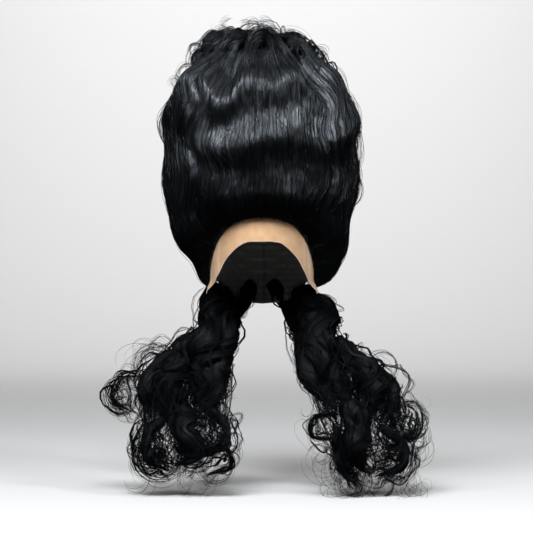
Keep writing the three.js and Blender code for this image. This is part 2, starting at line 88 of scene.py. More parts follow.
# Level sections of the beehive from the rim (-1) past the crown (0) to the top (1): left, right,
# front and back as shares of the beehive's half width, front and back.
LEFT, RIGHT, FRONT, BACK = 1, 2, 3, 4
SECTIONS = np.array([
    (-1, 0.57, 0.62, 0.8, 0.71),
    (-0.85, 0.63, 0.72, 0.82, 0.8),
    (-0.7, 0.69, 0.79, 0.84, 0.87),
    (-0.56, 0.81, 0.845, 0.87, 0.93),
    (-0.4, 0.895, 0.875, 0.89, 0.965),
    (-0.2, 0.937, 0.9, 0.91, 0.99),
    (0, 0.965, 0.945, 0.945, 1),
    (0.1, 0.99, 0.97, 0.975, 1),
    (0.18, 0.986, 0.94, 0.992, 0.995),
    (0.27, 0.955, 0.932, 1, 0.985),
    (0.35, 0.96, 0.965, 0.985, 0.97),
    (0.45, 0.995, 0.935, 0.965, 0.94),
    (0.54, 0.995, 0.885, 0.95, 0.9),
    (0.62, 0.95, 0.825, 0.905, 0.845),
    (0.7, 0.853, 0.762, 0.83, 0.765),
    (0.79, 0.72, 0.68, 0.69, 0.65),
    (0.88, 0.62, 0.55, 0.56, 0.55),
    (0.946, 0.48, 0.42, 0.42, 0.42),
    (1, 0, 0, 0, 0),
])

# Locks of the falls: side, then root, bend, belly and tip as [out, forward, down] shares from
# behind the ear, girth and end as shares of fall_girth, wave as a share of fall_wave, and turns.
FALLS = {
    "right_fall_trunk": (-1, (0, 0, 0.007), (0.05, 0.24, 0.205), (0.07, 0.44, 0.361),
                         (0.16, 0.72, 0.603), 0.94, 0.7, 0.35, 1.5),
    "right_nape_sweep": (-1, (-0.26, -0.27, -0.016), (-0.16, -0.23, 0.078), (-0.05, -0.05, 0.177),
                         (0, 0.18, 0.29), 0.5, 0.4, 0.1, 1),
    "right_fall_inner_lock": (-1, (-0.06, -0.01, 0.149), (-0.03, 0.24, 0.262), (0.02, 0.49, 0.432),
                              (0.06, 0.78, 0.659), 0.66, 0.5, 0.3, 1.4),
    "right_fall_shoulder_lock": (-1, (0.15, 0.3, 0.262), (0.31, 0.46, 0.354), (0.38, 0.57, 0.475),
                                 (0.34, 0.78, 0.688), 0.8, 0.5, 0.2, 1.2),
    "right_fall_outer_lock": (-1, (0.27, 0.4, 0.333), (0.47, 0.53, 0.376), (0.55, 0.65, 0.489),
                              (0.49, 0.76, 0.631), 0.56, 0.35, 0.15, 1.1),
    "right_fall_outer_curl": (-1, (0.57, 0.63, 0.432), (0.75, 0.62, 0.439), (0.81, 0.66, 0.539),
                              (0.65, 0.7, 0.603), 0.22, 0.12, 0.1, 1),
    "right_fall_lower_lock": (-1, (0.22, 0.8, 0.574), (0.27, 0.89, 0.688), (0.2, 0.94, 0.787),
                              (0.3, 0.97, 0.844), 0.66, 0.35, 0.1, 1),
    "right_fall_bottom_lock": (-1, (0.4, 0.8, 0.631), (0.53, 0.86, 0.695), (0.53, 0.91, 0.801),
                               (0.34, 0.94, 0.865), 0.48, 0.25, 0.1, 1),
    "right_fall_chest_lock": (-1, (0.04, 0.81, 0.574), (-0.05, 0.9, 0.659), (-0.02, 0.95, 0.745),
                              (0.14, 0.99, 0.801), 0.36, 0.18, 0.15, 1),
    "right_fall_chest_curl": (-1, (0.11, 0.98, 0.787), (-0.06, 0.99, 0.759), (-0.1, 0.99, 0.837),
                              (0.08, 1, 0.879), 0.12, 0.07, 0, 1),
    "left_fall_trunk": (1, (0, 0, 0.007), (0.07, 0.19, 0.191), (0.16, 0.43, 0.361),
                        (0.3, 0.67, 0.574), 0.94, 0.75, 0.35, 1.5),
    "left_nape_sweep": (1, (-0.26, -0.27, -0.016), (-0.16, -0.23, 0.078), (-0.05, -0.05, 0.177),
                        (0.02, 0.18, 0.29), 0.5, 0.4, 0.1, 1),
    "left_fall_inner_lock": (1, (-0.06, -0.01, 0.149), (0, 0.21, 0.234), (0.08, 0.46, 0.404),
                             (0.22, 0.73, 0.603), 0.64, 0.5, 0.3, 1.4),
    "left_fall_shoulder_lock": (1, (0.2, 0.3, 0.276), (0.4, 0.46, 0.39), (0.52, 0.59, 0.503),
                                (0.49, 0.76, 0.659), 0.74, 0.5, 0.2, 1.2),
    "left_fall_outer_lock": (1, (0.47, 0.46, 0.418), (0.61, 0.59, 0.461), (0.67, 0.67, 0.546),
                             (0.63, 0.76, 0.659), 0.46, 0.3, 0.15, 1.1),
    "left_fall_outer_curl": (1, (0.65, 0.68, 0.546), (0.81, 0.73, 0.574), (0.83, 0.78, 0.688),
                             (0.68, 0.82, 0.759), 0.34, 0.18, 0.2, 1),
    "left_fall_lower_lock": (1, (0.32, 0.72, 0.546), (0.39, 0.84, 0.674), (0.38, 0.92, 0.773),
                             (0.45, 0.96, 0.879), 0.74, 0.4, 0, 1),
    "left_fall_bottom_lock": (1, (0.55, 0.8, 0.659), (0.71, 0.85, 0.737), (0.71, 0.89, 0.844),
                              (0.51, 0.91, 0.901), 0.46, 0.22, 0.1, 1),
    "left_fall_chest_lock": (1, (0.24, 0.86, 0.659), (0.23, 0.94, 0.787), (0.27, 0.97, 0.858),
                             (0.4, 0.99, 0.929), 0.36, 0.16, 0.15, 1),
    "left_fall_chest_curl": (1, (0.28, 0.86, 0.605), (0.06, 0.96, 0.617), (0.04, 0.97, 0.702),
                             (0.2, 0.98, 0.716), 0.12, 0.07, 0, 1),
}

# Locks of a fall with loose hair between them.
FILLED = (
    ("trunk", "inner_lock"),
    ("trunk", "shoulder_lock"),
    ("inner_lock", "shoulder_lock"),
    ("shoulder_lock", "outer_lock"),
    ("lower_lock", "bottom_lock"),
    ("lower_lock", "chest_lock"),
    ("shoulder_lock", "lower_lock"),
    ("outer_lock", "bottom_lock"),
    ("inner_lock", "chest_lock"),
)

# By the last word of a lock's name: the share of its fullness that is dense, its strands, their fluff.
DENSE = {
    "trunk": (0.88, 1, 0.012),
    "sweep": (0.9, 1, 0.006),
    "inner": (0.84, 1, 0.012),
    "shoulder": (0.8, 1, 0.014),
    "outer": (0.6, 1.5, 0.016),
    "lower": (0.74, 1.1, 0.014),
    "bottom": (0.46, 2.2, 0.018),
    "chest": (0.5, 1.6, 0.014),
    "curl": (0, 1, 0.012),
}

# Curls on the crown: root, bend, belly and tip as [angle, level, lift], girth and end, wave, turns.
CROWN = {
    "crown_curl_top_right": ((-140, 0.975, 0.1), (-90, 0.967, 0.88), (-74, 0.946, 0.7),
                             (-63, 0.861, 0.06), 1.06, 0.562, 0.3, 1.2),
    "crown_curl_far_right": ((-118, 0.945, -0.4), (-94, 0.922, 0.23), (-78, 0.881, 0.03),
                             (-61, 0.766, 0), 0.938, 0.5, 0.3, 1.2),
    "crown_curl_side_right": ((-98, 0.867, -0.49), (-83, 0.815, -0.08), (-74, 0.753, -0.3),
                              (-67, 0.664, -0.4), 0.688, 0.375, 0.2, 1),
    "crown_curl_middle": ((-174, 0.986, 0.07), (-74, 0.986, 0.83), (-50, 0.958, 0.61),
                          (-36, 0.883, 0), 1, 0.5, 0.3, 1.2),
    "crown_curl_front": ((115, 0.98, 0.15), (20, 0.986, 0.95), (-10, 0.957, 0.49),
                         (-4, 0.88, -0.09), 0.938, 0.5, 0.3, 1.2),
    "crown_curl_top_left": ((119, 0.968, 0.08), (76, 0.967, 0.73), (52, 0.946, 0.26),
                            (47, 0.849, -0.04), 0.875, 0.438, 0.3, 1.2),
    "crown_curl_far_left": ((116, 0.954, -0.25), (86, 0.943, 0.18), (69, 0.895, -0.06),
                            (59, 0.774, 0.02), 0.812, 0.438, 0.3, 1.2),
    "crown_curl_side_left": ((107, 0.924, -0.79), (86, 0.868, -0.35), (76, 0.788, -0.25),
                             (68, 0.662, -0.11), 0.875, 0.438, 0.2, 1),
    "crown_curl_back_right": ((-153, 0.964, 0), (-145, 0.882, 0.16), (-155, 0.786, 0.3),
                              (-169, 0.691, -0.33), 1, 0.5, 0.3, 1.2),
    "crown_curl_back_middle": ((180, 0.97, 0.18), (175, 0.921, 0.1), (-176, 0.814, 0.42),
                               (179, 0.704, 0.16), 0.938, 0.5, 0.3, 1.2),
    "crown_curl_back_left": ((154, 0.964, 0), (143, 0.889, 0.05), (150, 0.786, 0.3),
                             (161, 0.681, -0.34), 1, 0.5, 0.3, 1.2),
}

# Loops of loose hair beside the falls: side, then out, forward and down shares from behind the ear
# as in FALLS, radius as a share of fall_girth, where it starts in degrees from outwards, turns, strands.
LOOSE_LOOPS = (
    (-1, 0.737, 0.68, 0.528, 0.66, 150, 1.2, 12),
    (-1, 0.75, 0.66, 0.53, 0.45, 60, 1.1, 7),
    (-1, 0.69, 0.62, 0.42, 0.33, 20, 1.3, 4),
    (-1, 0.52, 0.6, 0.395, 0.7, 170, 0.75, 16),
    (-1, 0.42, 0.9, 0.772, 1.0, 50, 0.6, 24),
    (-1, 0.4, 0.95, 0.82, 0.8, 30, 0.5, 14),
    (-1, -0.12, 0.96, 0.735, 0.33, 160, 1.2, 7),
    (-1, 0.005, 0.99, 0.845, 0.64, 130, 1.15, 9),
    (-1, -0.1, 0.9, 0.6, 0.5, 100, 0.8, 8),
    (-1, 0.2, 0.97, 0.9, 0.5, 210, 0.8, 9),
    (1, 0.8, 0.75, 0.63, 0.5, 150, 1.1, 10),
    (1, 0.81, 0.8, 0.74, 0.45, 130, 1.2, 9),
    (1, 0.72, 0.86, 0.85, 0.55, 140, 1.0, 12),
    (1, 0.55, 0.92, 0.93, 0.6, 160, 0.9, 12),
    (1, 0.16, 0.92, 0.66, 0.42, 30, 1.2, 9),
    (1, 0.1, 0.96, 0.79, 0.36, 170, 0.9, 8),
    (1, 0.34, 0.98, 0.93, 0.5, 200, 0.9, 9),
    (1, 0.6, 0.55, 0.4, 0.6, 160, 0.7, 10),
    (1, 0.0, 0.75, 0.44, 0.3, 230, 0.5, 6),
)

# Strands that bow off the sides: section, column, shares of its height where they leave it and
# come back, lift and strands.
BOWED = (
    ("beehive_left_wave", 0.5, 0.34, 0.5, 0.009, 11),
    ("beehive_left_wave", 0.48, 0.55, 0.68, 0.008, 9),
    ("beehive_left_wave", 0.55, 0.2, 0.33, 0.007, 8),
    ("beehive_right_wave", 0.5, 0.23, 0.44, 0.009, 12),
    ("beehive_right_wave", 0.46, 0.5, 0.66, 0.006, 7),
)

# Loops that stand off the crown: across as a share of the half width, level, radius as a share of
# crown_girth, where it starts in degrees, turns and strands.
CROWN_LOOPS = (
    (0.01, 0.99, 1.5, 195, 0.58, 26),
    (0.0, 0.985, 1.25, 195, 0.6, 28),
    (0.02, 0.97, 1.0, 200, 0.7, 22),
    (0.31, 0.9, 1.85, 118, 0.38, 32),
    (0.45, 0.81, 1.3, 100, 0.4, 16),
    (0.25, 0.93, 1.5, 150, 0.42, 16),
    (0.67, 0.69, 1.5, 115, 0.45, 30),
    (-0.5, 1.0, 0.9, 150, 0.7, 16),
    (-0.36, 1.0, 1.1, 170, 0.5, 16),
    (-0.35, 1.06, 1.1, 100, 0.15, 7),
    (-0.68, 0.955, 0.62, -60, 1.0, 14),
    (-0.77, 0.8, 0.85, -80, 0.8, 16),
    (-0.3, 1.0, 0.8, 200, 0.7, 6),
    (-0.14, 1.03, 0.9, 20, 0.55, 6),
    (0.12, 1.03, 0.85, 170, 0.8, 8),
    (0.34, 0.99, 0.8, 150, 1.0, 9),
    (0.47, 0.92, 0.75, 140, 1.1, 9),
    (0.57, 0.84, 0.7, 120, 1.0, 8),
    (0.65, 0.75, 0.75, 110, 0.9, 7),
    (-0.5, 0.93, 0.7, 60, 1.0, 7),
    (-0.6, 0.84, 0.7, 40, 0.9, 6),
)


def length(name, description, default):
    return FloatProperty(name=name, description=description, default=default, unit="LENGTH", precision=4)


def number(name, description, default):
    return FloatProperty(name=name, description=description, default=default)


def amount(name, description, default):
    return IntProperty(name=name, description=description, default=default, min=1)


def colour(name, description, default):
    return FloatVectorProperty(name=name, description=description, default=default, subtype="COLOR")


class WigForm(bpy.types.PropertyGroup):
    """Sizes of the solids that the hair follows, in metres."""

    head_half_width: length("Head half width", "Half the width of the head that the cap fits", 0.076)
    head_half_depth: length("Head half depth", "Half the head from face to nape", 0.098)
    crown_to_widest: length("Crown to widest", "From the crown to the widest level", 0.095)
    widest_to_neck: length("Widest to neck", "From the widest level to where the neck closes", 0.15)
    head_squareness: number("Head squareness", "2 is round", 2.4)
    cap_wall: length("Cap wall", "Thickness of the cap's cloth", 0.0016)
    lace_wall: length("Lace wall", "Thickness of the net", 0.0005)
    clearance: length("Clearance", "Gap between two pieces", 0.0003)
    tab_drop: length("Tab drop", "From the crown down to the tips of the ear tabs", 0.141)
    tab_angle: number("Tab angle", "Where the lace ends", 82.5)
    beehive_height: length("Beehive height", "From the crown of the head to the top", 0.222)
    beehive_half_width: length("Beehive half width", "Half the width at its widest", 0.143)
    beehive_front: length("Beehive front", "From the axis to the front", 0.122)
    beehive_back: length("Beehive back", "From the axis to the back", 0.14)
    beehive_lean: length("Beehive lean", "How far the top leans back", 0.012)
    beehive_squareness: number("Beehive squareness", "2 is round", 2.15)
    rim_drop: length("Rim drop", "From the crown down to the lowest rim", 0.132)
    rim_lip: length("Rim lip", "Thickness of the hair where it leaves the lace", 0.004)
    rim_roll: length("Rim roll", "Height over which the hair swells at the rim", 0.034)
    ridge_depth: length("Ridge depth", "Depth of the broad upright ridges", 0.0024)
    wave_depth: length("Wave depth", "Depth of the level waves", 0.0045)
    wave_length: length("Wave length", "Height of one level wave", 0.076)
    wave_crest: length("Wave crest", "Height of the lowest crest above the crown", 0.062)
    parting_wave: length("Parting wave", "How far a parting winds from its line", 0.007)
    parting_wave_length: length("Parting wave length", "Height of one winding", 0.105)
    fall_reach: length("Fall reach", "How far out the falls spread", 0.188)
    fall_forward: length("Fall forward", "How far forward the falls come", 0.158)
    fall_drop: length("Fall drop", "How far the falls hang down", 0.303)
    fall_girth: length("Fall girth", "Radius of the thickest lock", 0.036)
    fall_wave: length("Fall wave", "Radius of a lock's winding", 0.02)
    crown_girth: length("Crown girth", "Radius of the thickest crown curl", 0.016)
    crown_wave: length("Crown wave", "Radius of a crown curl's winding", 0.012)


class WigHair(bpy.types.PropertyGroup):
    """How fine the hair is and how much of it shows as single strands."""

    strand_radius: length("Strand radius", "Radius of one modelled strand", 0.00027)
    tress_depth: length("Tress depth", "Depth of the grooves between tresses", 0.0014)
    lock_depth: length("Lock depth", "Depth of the grooves within a tress", 0.0009)
    fine_depth: length("Fine depth", "Depth of the finest combed lines", 0.0007)
    combed_strands: amount("Combed strands", "On each section", 590)
    fall_strands: amount("Fall strands", "On a fall's thickest lock", 150)
    filling_strands: amount("Filling strands", "Between two locks", 68)
    crown_strands: amount("Crown strands", "On each crown curl", 62)
    wisp_count: amount("Wisps", "Wispy loops on each fall", 72)
    rim_hairs: amount("Rim hairs", "Short hairs at the rim of a section", 170)
    flyaways: amount("Flyaways", "Strands that stand off each section", 45)


class WigFinish(bpy.types.PropertyGroup):
    """Colours of the hair, the net, the cap and the studio."""

    hair_shade: colour("Hair shade", "Colour between the strands", (0.0003, 0.0004, 0.0006))
    hair_light: colour("Hair light", "Colour of the strands that catch light", (0.0014, 0.0017, 0.0025))
    net: colour("Net", "Colour of the net's threads", (0.67, 0.365, 0.155))
    net_edge: colour("Net edge", "Colour of the net where it is folded or doubled", (0.9, 0.68, 0.5))
    cap: colour("Cap", "Colour of the stretch cap", (0.03, 0.028, 0.027))
    backdrop: colour("Backdrop", "Colour of the floor and the wall", (0.65, 0.645, 0.645))


def through(table, column, place):
    """A column of a table at places between its rows, on a smooth curve through them."""
    x, y = table[:, 0], table[:, column]
    slope = np.empty(len(x))
    slope[1:-1] = (y[2:] - y[:-2]) / (x[2:] - x[:-2])
    slope[0] = (y[1] - y[0]) / (x[1] - x[0])
    slope[-1] = (y[-1] - y[-2]) / (x[-1] - x[-2])
    at = np.clip(place, x[0], x[-1])
    i = np.clip(np.searchsorted(x, at, side="right") - 1, 0, len(x) - 2)
    run = x[i + 1] - x[i]
    t = (at - x[i]) / run
    rise = t * t * (3 - 2 * t)
    return (
        (1 - rise) * y[i]
        + rise * y[i + 1]
        + run * ((t**3 - 2 * t**2 + t) * slope[i] + (t**3 - t**2) * slope[i + 1])
    )


def smooth(value, low, high):
    """0 below low and 1 above high, smooth between."""
    t = np.clip((value - low) / (high - low), 0, 1)
    return t * t * (3 - 2 * t)


def from_face(angle):
    """The angle from the face, 0 to 180 on either side."""
    return np.abs((np.asarray(angle, float) + 180) % 360 - 180)


def edge_height(form, column, angle):
    """The height of an edge of the table at an angle."""
    return -form.tab_drop * through(EDGES, column, from_face(angle))


def head_point(form, angle, height, offset):
    """Points on the head at angles and heights, set off outwards; the face is at 0, +X at 90."""
    angle, height = np.broadcast_arrays(np.asarray(angle, float), np.asarray(height, float))
    above = height > -form.crown_to_widest
    reach = np.where(above, form.crown_to_widest + offset, form.widest_to_neck)
    power = np.where(above, form.head_squareness, 2)
    share = np.minimum(1, np.abs(height + form.crown_to_widest) / reach)
    narrowing = (1 - share**power) ** (1 / power)
    a = np.radians(angle)
    x = (form.head_half_width + offset) * narrowing * np.sin(a)
    y = -(form.head_half_depth + offset) * narrowing * np.cos(a)
    return np.stack([x, y, height], -1)


def beehive_point(form, angle, height, shift=0.0):
    """Points on the beehive's combed form at angles and heights, its waves and swellings shifted down."""
    angle, height = np.broadcast_arrays(np.asarray(angle, float), np.asarray(height, float))
    level = np.where(height < 0, height / form.rim_drop, height / form.beehive_height)
    carried = 0.6
    shift = shift * smooth(level, 0, 0.25) * (1 - smooth(level, 0.75, 0.97))
    level = level + carried * shift / form.beehive_height
    a = np.radians(angle)
    across, ahead = np.sin(a), np.cos(a)
    sideways = np.where(across < 0, through(SECTIONS, LEFT, level), through(SECTIONS, RIGHT, level))
    lengthways = np.where(
        ahead > 0,
        form.beehive_front * through(SECTIONS, FRONT, level),
        form.beehive_back * through(SECTIONS, BACK, level),
    )
    tiny = 1e-6
    wide = np.maximum(form.beehive_half_width * sideways, tiny)
    deep = np.maximum(lengthways, tiny)
    n = form.beehive_squareness
    full = ((np.abs(across) / wide) ** n + (np.abs(ahead) / deep) ** n) ** (-1 / n)
    ridge_count, ridge_drift = 8, math.radians(70)
    ridge = form.ridge_depth * np.sin(ridge_count * a + ridge_drift * np.sin(2 * np.pi * level))
    at_back = 0.35
    facing = at_back + (1 - at_back) * np.maximum(0, ahead) ** 2
    lowest = smooth(height, -form.rim_roll, form.wave_crest - form.wave_length / 4)
    fading = (form.wave_crest + form.wave_length * 1.2, form.beehive_height * 0.9)
    wave = form.wave_depth * facing * lowest * (1 - smooth(height, *fading))
    wave = wave * np.cos(2 * np.pi * (height + shift - form.wave_crest) / form.wave_length)
    rim = edge_height(form, HAIRLINE, angle)
    roll = form.rim_roll * through(EDGES, ROLL, from_face(angle))
    rise = np.clip((height - rim) / roll, 0, 1)
    start = head_point(form, angle, np.minimum(height, 0), form.cap_wall + form.clearance + form.rim_lip)
    least = np.hypot(start[..., 0], start[..., 1])
    swell = np.sqrt(1 - (1 - rise) ** 2)
    radius = np.where(level >= 1, 0, least + (full + ridge + wave - least) * swell)
    lean = form.beehive_lean * np.maximum(0, level) ** 2
    return np.stack([radius * across, lean - radius * ahead, height], -1)


def outward_way(form, points):
    """Unit vectors away from the middle of the beehive."""
    middle = np.array([0, form.beehive_lean / 2, form.beehive_height * 0.3])
    way = points - middle
    return way / np.linalg.norm(way, axis=-1, keepdims=True)


class Grain:
    """Smooth seeded noise from -1 to 1, in lanes of a width across that change over a length along.

    With a period, the lanes repeat after that many, as they do round a tube."""

    SIZE = 128

    def __init__(self, rng, across, along, period=SIZE):
        self.cells = rng.uniform(-1, 1, (self.SIZE, period))
        self.shift = rng.uniform(0, self.SIZE, period)
        self.across, self.along, self.period = across, along, period

    def lane(self, number, y):
        number = number % self.period
        at = y / self.along + self.shift[number]
        low = np.floor(at).astype(int)
        t = at - low
        t = t * t * (3 - 2 * t)
        before, after = self.cells[low % self.SIZE, number], self.cells[(low + 1) % self.SIZE, number]
        return before * (1 - t) + after * t

    def __call__(self, x, y):
        at, y = np.broadcast_arrays(np.asarray(x, float) / self.across, np.asarray(y, float))
        number = np.floor(at).astype(int)
        t = at - number
        t = t * t * (3 - 2 * t)
        return self.lane(number, y) * (1 - t) + self.lane(number + 1, y) * t


class CombedSection:
    """One section of the beehive between two winding partings, combed from the rim to the top."""

    # Lengths in metres.
    MEAN_RADIUS = 0.13
    RUN = 0.36
    PARTING_DIP = 0.006
    PARTING_WIDTH = 0.006
    SWAY = 0.0028
    STAGGER = 0.056
    ENDING = 0.03
    WALL = 0.014
    # Width across and length along of the tresses, locks, fine lines, sway and stagger.
    LANES = ((0.015, 0.16), (0.0055, 0.1), (0.0021, 0.07), (0.05, 0.14), (0.042, 0.3))
    # What the noise of a groove is lowered by, so that the relief is level on the whole.
    GROOVE_LEVEL = 0.7
    # The share of the relief that is left at the rim, and the shares between which it fades in at the top.
    AT_RIM, FADING = 0.2, (0.01, 0.09)

    def __init__(self, form, hair, seed, first, last):
        self.form, self.hair = form, hair
        self.first, self.last = first, last
        self.arc = math.radians(last[0] - first[0]) * self.MEAN_RADIUS
        rng = np.random.default_rng(seed)
        grains = [Grain(rng, across, along) for across, along in self.LANES]
        self.tresses, self.locks, self.fine, self.sway, self.stagger = grains

    def angle_at(self, u, height):
        """The angle of a column u, 0 to 1 between the two partings."""
        form = self.form
        winding = form.parting_wave * np.sin(2 * np.pi * height / form.parting_wave_length)
        turn = np.degrees(winding / self.MEAN_RADIUS)
        near_first, near_last = np.maximum(0, 1 - 2 * u) ** 1.4, np.maximum(0, 2 * u - 1) ** 1.4
        straight = self.first[0] + (self.last[0] - self.first[0]) * u
        return straight + turn * (self.first[1] * near_first + self.last[1] * near_last)

    def relief(self, u, share):
        """Grooves between tresses and locks, combed lines and the dips at the partings."""
        hair = self.hair
        x, y = u * self.arc, share * self.RUN
        x = x + self.SWAY * self.sway(x, y)
        bumps = hair.tress_depth * (2 * np.abs(self.tresses(x, y)) - self.GROOVE_LEVEL)
        bumps = bumps + hair.lock_depth * (2 * np.abs(self.locks(x, y)) - self.GROOVE_LEVEL)
        bumps = bumps + hair.fine_depth * self.fine(x, y)
        edge = np.minimum(u, 1 - u) * self.arc
        dip = self.PARTING_DIP * np.exp(-((edge / self.PARTING_WIDTH) ** 2))
        off_rim = smooth((1 - share) * self.RUN, 0, self.ENDING)
        kept = self.AT_RIM + (1 - self.AT_RIM) * off_rim
        return (bumps * kept - dip * off_rim) * smooth(share, *self.FADING)

    def point(self, u, share, lift=0.0, bare=False):
        """Points at column u and share 0 (top) to 1 (rim), lifted off the combed surface."""
        u, share = np.broadcast_arrays(np.asarray(u, float), np.asarray(share, float))
        form = self.form
        height = form.beehive_height * (1 - share)
        for _ in range(3):
            angle = self.angle_at(u, height)
            height = form.beehive_height + (edge_height(form, HAIRLINE, angle) - form.beehive_height) * share
        shift = self.STAGGER * self.stagger(u * self.arc, share * self.RUN)
        points = beehive_point(form, angle, height, shift)
        raised = lift + (0 if bare else self.relief(u, share))
        return points + outward_way(form, points) * np.asarray(raised)[..., None]

    def inner(self, u, share):
        """The inside of the section: off the cap low down, a wall's thickness in above it."""
        form = self.form
        gap, crown_skipped = form.cap_wall + form.clearance, 0.002
        outer = self.point(u, share, bare=True)
        inside = outer - outward_way(form, outer) * self.WALL
        angle = np.degrees(np.arctan2(inside[..., 0], -inside[..., 1]))
        head = head_point(form, angle, np.minimum(outer[..., 2], -crown_skipped), gap)
        head_radius, radius = np.hypot(head[..., 0], head[..., 1]), np.hypot(inside[..., 0], inside[..., 1])
        low = outer[..., 2] < 0
        keep = np.where(low & (radius < head_radius), head_radius / np.maximum(radius, 1e-6), 1)
        inside[..., 0] *= keep
        inside[..., 1] *= keep
        inside[..., 2] = np.where(low, outer[..., 2], inside[..., 2])
        return inside


def comb_shares(rows):
    """Shares from the top to the rim, closer together at both ends."""
    even = np.linspace(0, 1, rows + 1)
    return 0.5 * even + 0.5 * (1 - np.cos(np.pi * even)) / 2


def grid_faces(rows, columns, offset=0):
    i = np.arange(rows)[:, None] * (columns + 1) + np.arange(columns)[None, :] + offset
    return np.stack([i, i + 1, i + columns + 2, i + columns + 1], -1).reshape(-1, 4)


def ring_faces(index):
    """Faces between closed rings of points, given their indices, one row a ring."""
    after = np.roll(index, -1, 1)
    return np.stack([index[:-1], after[:-1], after[1:], index[1:]], -1).reshape(-1, 4).tolist()


def grid_loop(rows, columns, offset=0):
    """The indices round the edge of a grid of points, in turn."""
    index = np.arange((rows + 1) * (columns + 1)).reshape(rows + 1, columns + 1) + offset
    return np.concatenate([index[0, :-1], index[:-1, -1], index[-1, :0:-1], index[:0:-1, 0]])


def stitched(fine, coarse):
    """Triangles between a fine closed loop and a coarse one with a whole share of its points."""
    step = len(fine) // len(coarse)
    faces = []
    for j, near in enumerate(coarse):
        far = coarse[(j + 1) % len(coarse)]
        for i in range(step):
            a, b = fine[j * step + i], fine[(j * step + i + 1) % len(fine)]
            if i == step // 2:
                faces.append((a, far, near))
            faces.append((a, b, near if i < step // 2 else far))
    return faces


def mesh_object(name, points, faces, flow, material):
    """A closed piece with its flow attribute, doubles merged and faces turned outwards."""
    mesh = bpy.data.meshes.new(name)
    mesh.from_pydata(points.reshape(-1, 3).tolist(), [], [tuple(int(i) for i in f) for f in faces])
    attribute = mesh.attributes.new("flow", "FLOAT_VECTOR", "POINT")
    attribute.data.foreach_set("vector", np.asarray(flow, np.float32).ravel())
    shell = bmesh.new()
    shell.from_mesh(mesh)
    bmesh.ops.remove_doubles(shell, verts=shell.verts, dist=1e-5)
    bmesh.ops.recalc_face_normals(shell, faces=shell.faces)
    shell.to_mesh(mesh)
    shell.free()
    mesh.polygons.foreach_set("use_smooth", [True] * len(mesh.polygons))
    mesh.materials.append(material)
    piece = bpy.data.objects.new(name, mesh)
    bpy.context.scene.collection.objects.link(piece)
    return piece


def seat(piece, slot, *nodes):
    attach(piece, BODY)
    if nodes:
        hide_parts(*nodes)
    return piece


class Socket:
    """A shader socket, or a number, that the usual operators join into Math nodes."""

    def __init__(self, shader, link):
        self.shader, self.link = shader, link

    def _with(self, operation, a, b):
        return self.shader.node("ShaderNodeMath", {"operation": operation}, {0: a, 1: b})

    def __add__(self, other):
        return self._with("ADD", self, other)

    def __radd__(self, other):
        return self._with("ADD", other, self)

    def __sub__(self, other):
        return self._with("SUBTRACT", self, other)

    def __rsub__(self, other):
        return self._with("SUBTRACT", other, self)

    def __mul__(self, other):
        return self._with("MULTIPLY", self, other)

    def __rmul__(self, other):
        return self._with("MULTIPLY", other, self)

    def ramp(self, low, high):
        """0 below low and 1 above high, smooth between."""
        settings = {"interpolation_type": "SMOOTHSTEP"}
        values = {"Value": self, "From Min": low, "From Max": high}
        return self.shader.node("ShaderNodeMapRange", settings, values)


class Shader:
    """A material under construction."""

    def __init__(self, name):
        self.material = bpy.data.materials.new(name)
        self.material.use_nodes = True
        self.tree = self.material.node_tree
        self.surface = self.tree.nodes["Principled BSDF"]

    def node(self, kind, settings, values, output=0):
        made = self.tree.nodes.new(kind)
        for key, value in settings.items():
            setattr(made, key, value)
        for key, value in values.items():
            self.set(made.inputs[key], value)
        return Socket(self, made.outputs[output])

    def set(self, target, value):
        if isinstance(value, Socket):
            self.tree.links.new(value.link, target)
        elif hasattr(value, "__len__") and len(value) == 3 and target.type == "RGBA":
            target.default_value = (*value, 1)
        else:
            target.default_value = value

    def blend(self, factor, a, b):
        """A mix of two colours."""
        made = self.tree.nodes.new("ShaderNodeMix")
        made.data_type = "RGBA"
        for target, value in zip((made.inputs[0], made.inputs[6], made.inputs[7]), (factor, a, b)):
            self.set(target, value)
        return Socket(self, made.outputs[2])

    def flow(self, scale):
        """The piece's own flow attribute: across, along and a third value, scaled."""
        flow = self.node("ShaderNodeAttribute", {"attribute_name": "flow"}, {}, output="Vector")
        return self.node("ShaderNodeVectorMath", {"operation": "MULTIPLY"}, {0: flow, 1: scale})

    def third(self):
        """The flow's third value: tint of hair, hem or roots of the net, wefts of the cap."""
        return self.node("ShaderNodeSeparateXYZ", {}, {0: self.flow((1, 1, 1))}, output=2)

    def noise(self, vector, scale=1.0, detail=2.0):
        return self.node("ShaderNodeTexNoise", {}, {"Vector": vector, "Scale": scale, "Detail": detail})

    def bump(self, height, distance):
        return self.node("ShaderNodeBump", {}, {"Height": height, "Distance": distance})

    def finish(self, **sockets):
        for key, value in sockets.items():
            self.set(self.surface.inputs[key.replace("_", " ")], value)
        return self.material


def hair_material(finish, name, streak_width, bump, gloss):
    """Near black hair: fine streaks along the flow in colour, roughness and relief."""
    shader = Shader(name)
    per_metre_along, patches, tilts = 30, (34, 15, 1), (55, 24, 2)
    matt, specular, tilt_share = 0.62, 0.56, 4.5
    streak = shader.noise(shader.flow((1 / streak_width, per_metre_along, 3)), detail=3.0)
    patch = shader.noise(shader.flow(patches), detail=2.0).ramp(0.35, 0.68)
    light = (streak * 0.6 + patch * 0.3 + shader.third() * 0.5).ramp(0.45, 0.95)
    tilt = shader.noise(shader.flow(tilts), detail=1.0)
    return shader.finish(
        Base_Color=shader.blend(light, finish.hair_shade, finish.hair_light),
        Roughness=matt - 0.2 * gloss - patch * 0.08 - light * 0.05,
        Normal=shader.bump(streak + tilt * tilt_share, bump),
        IOR=1.5,
        Specular_IOR_Level=specular * gloss,
        Specular_Tint=(0.82, 0.9, 1.0, 1),
    )


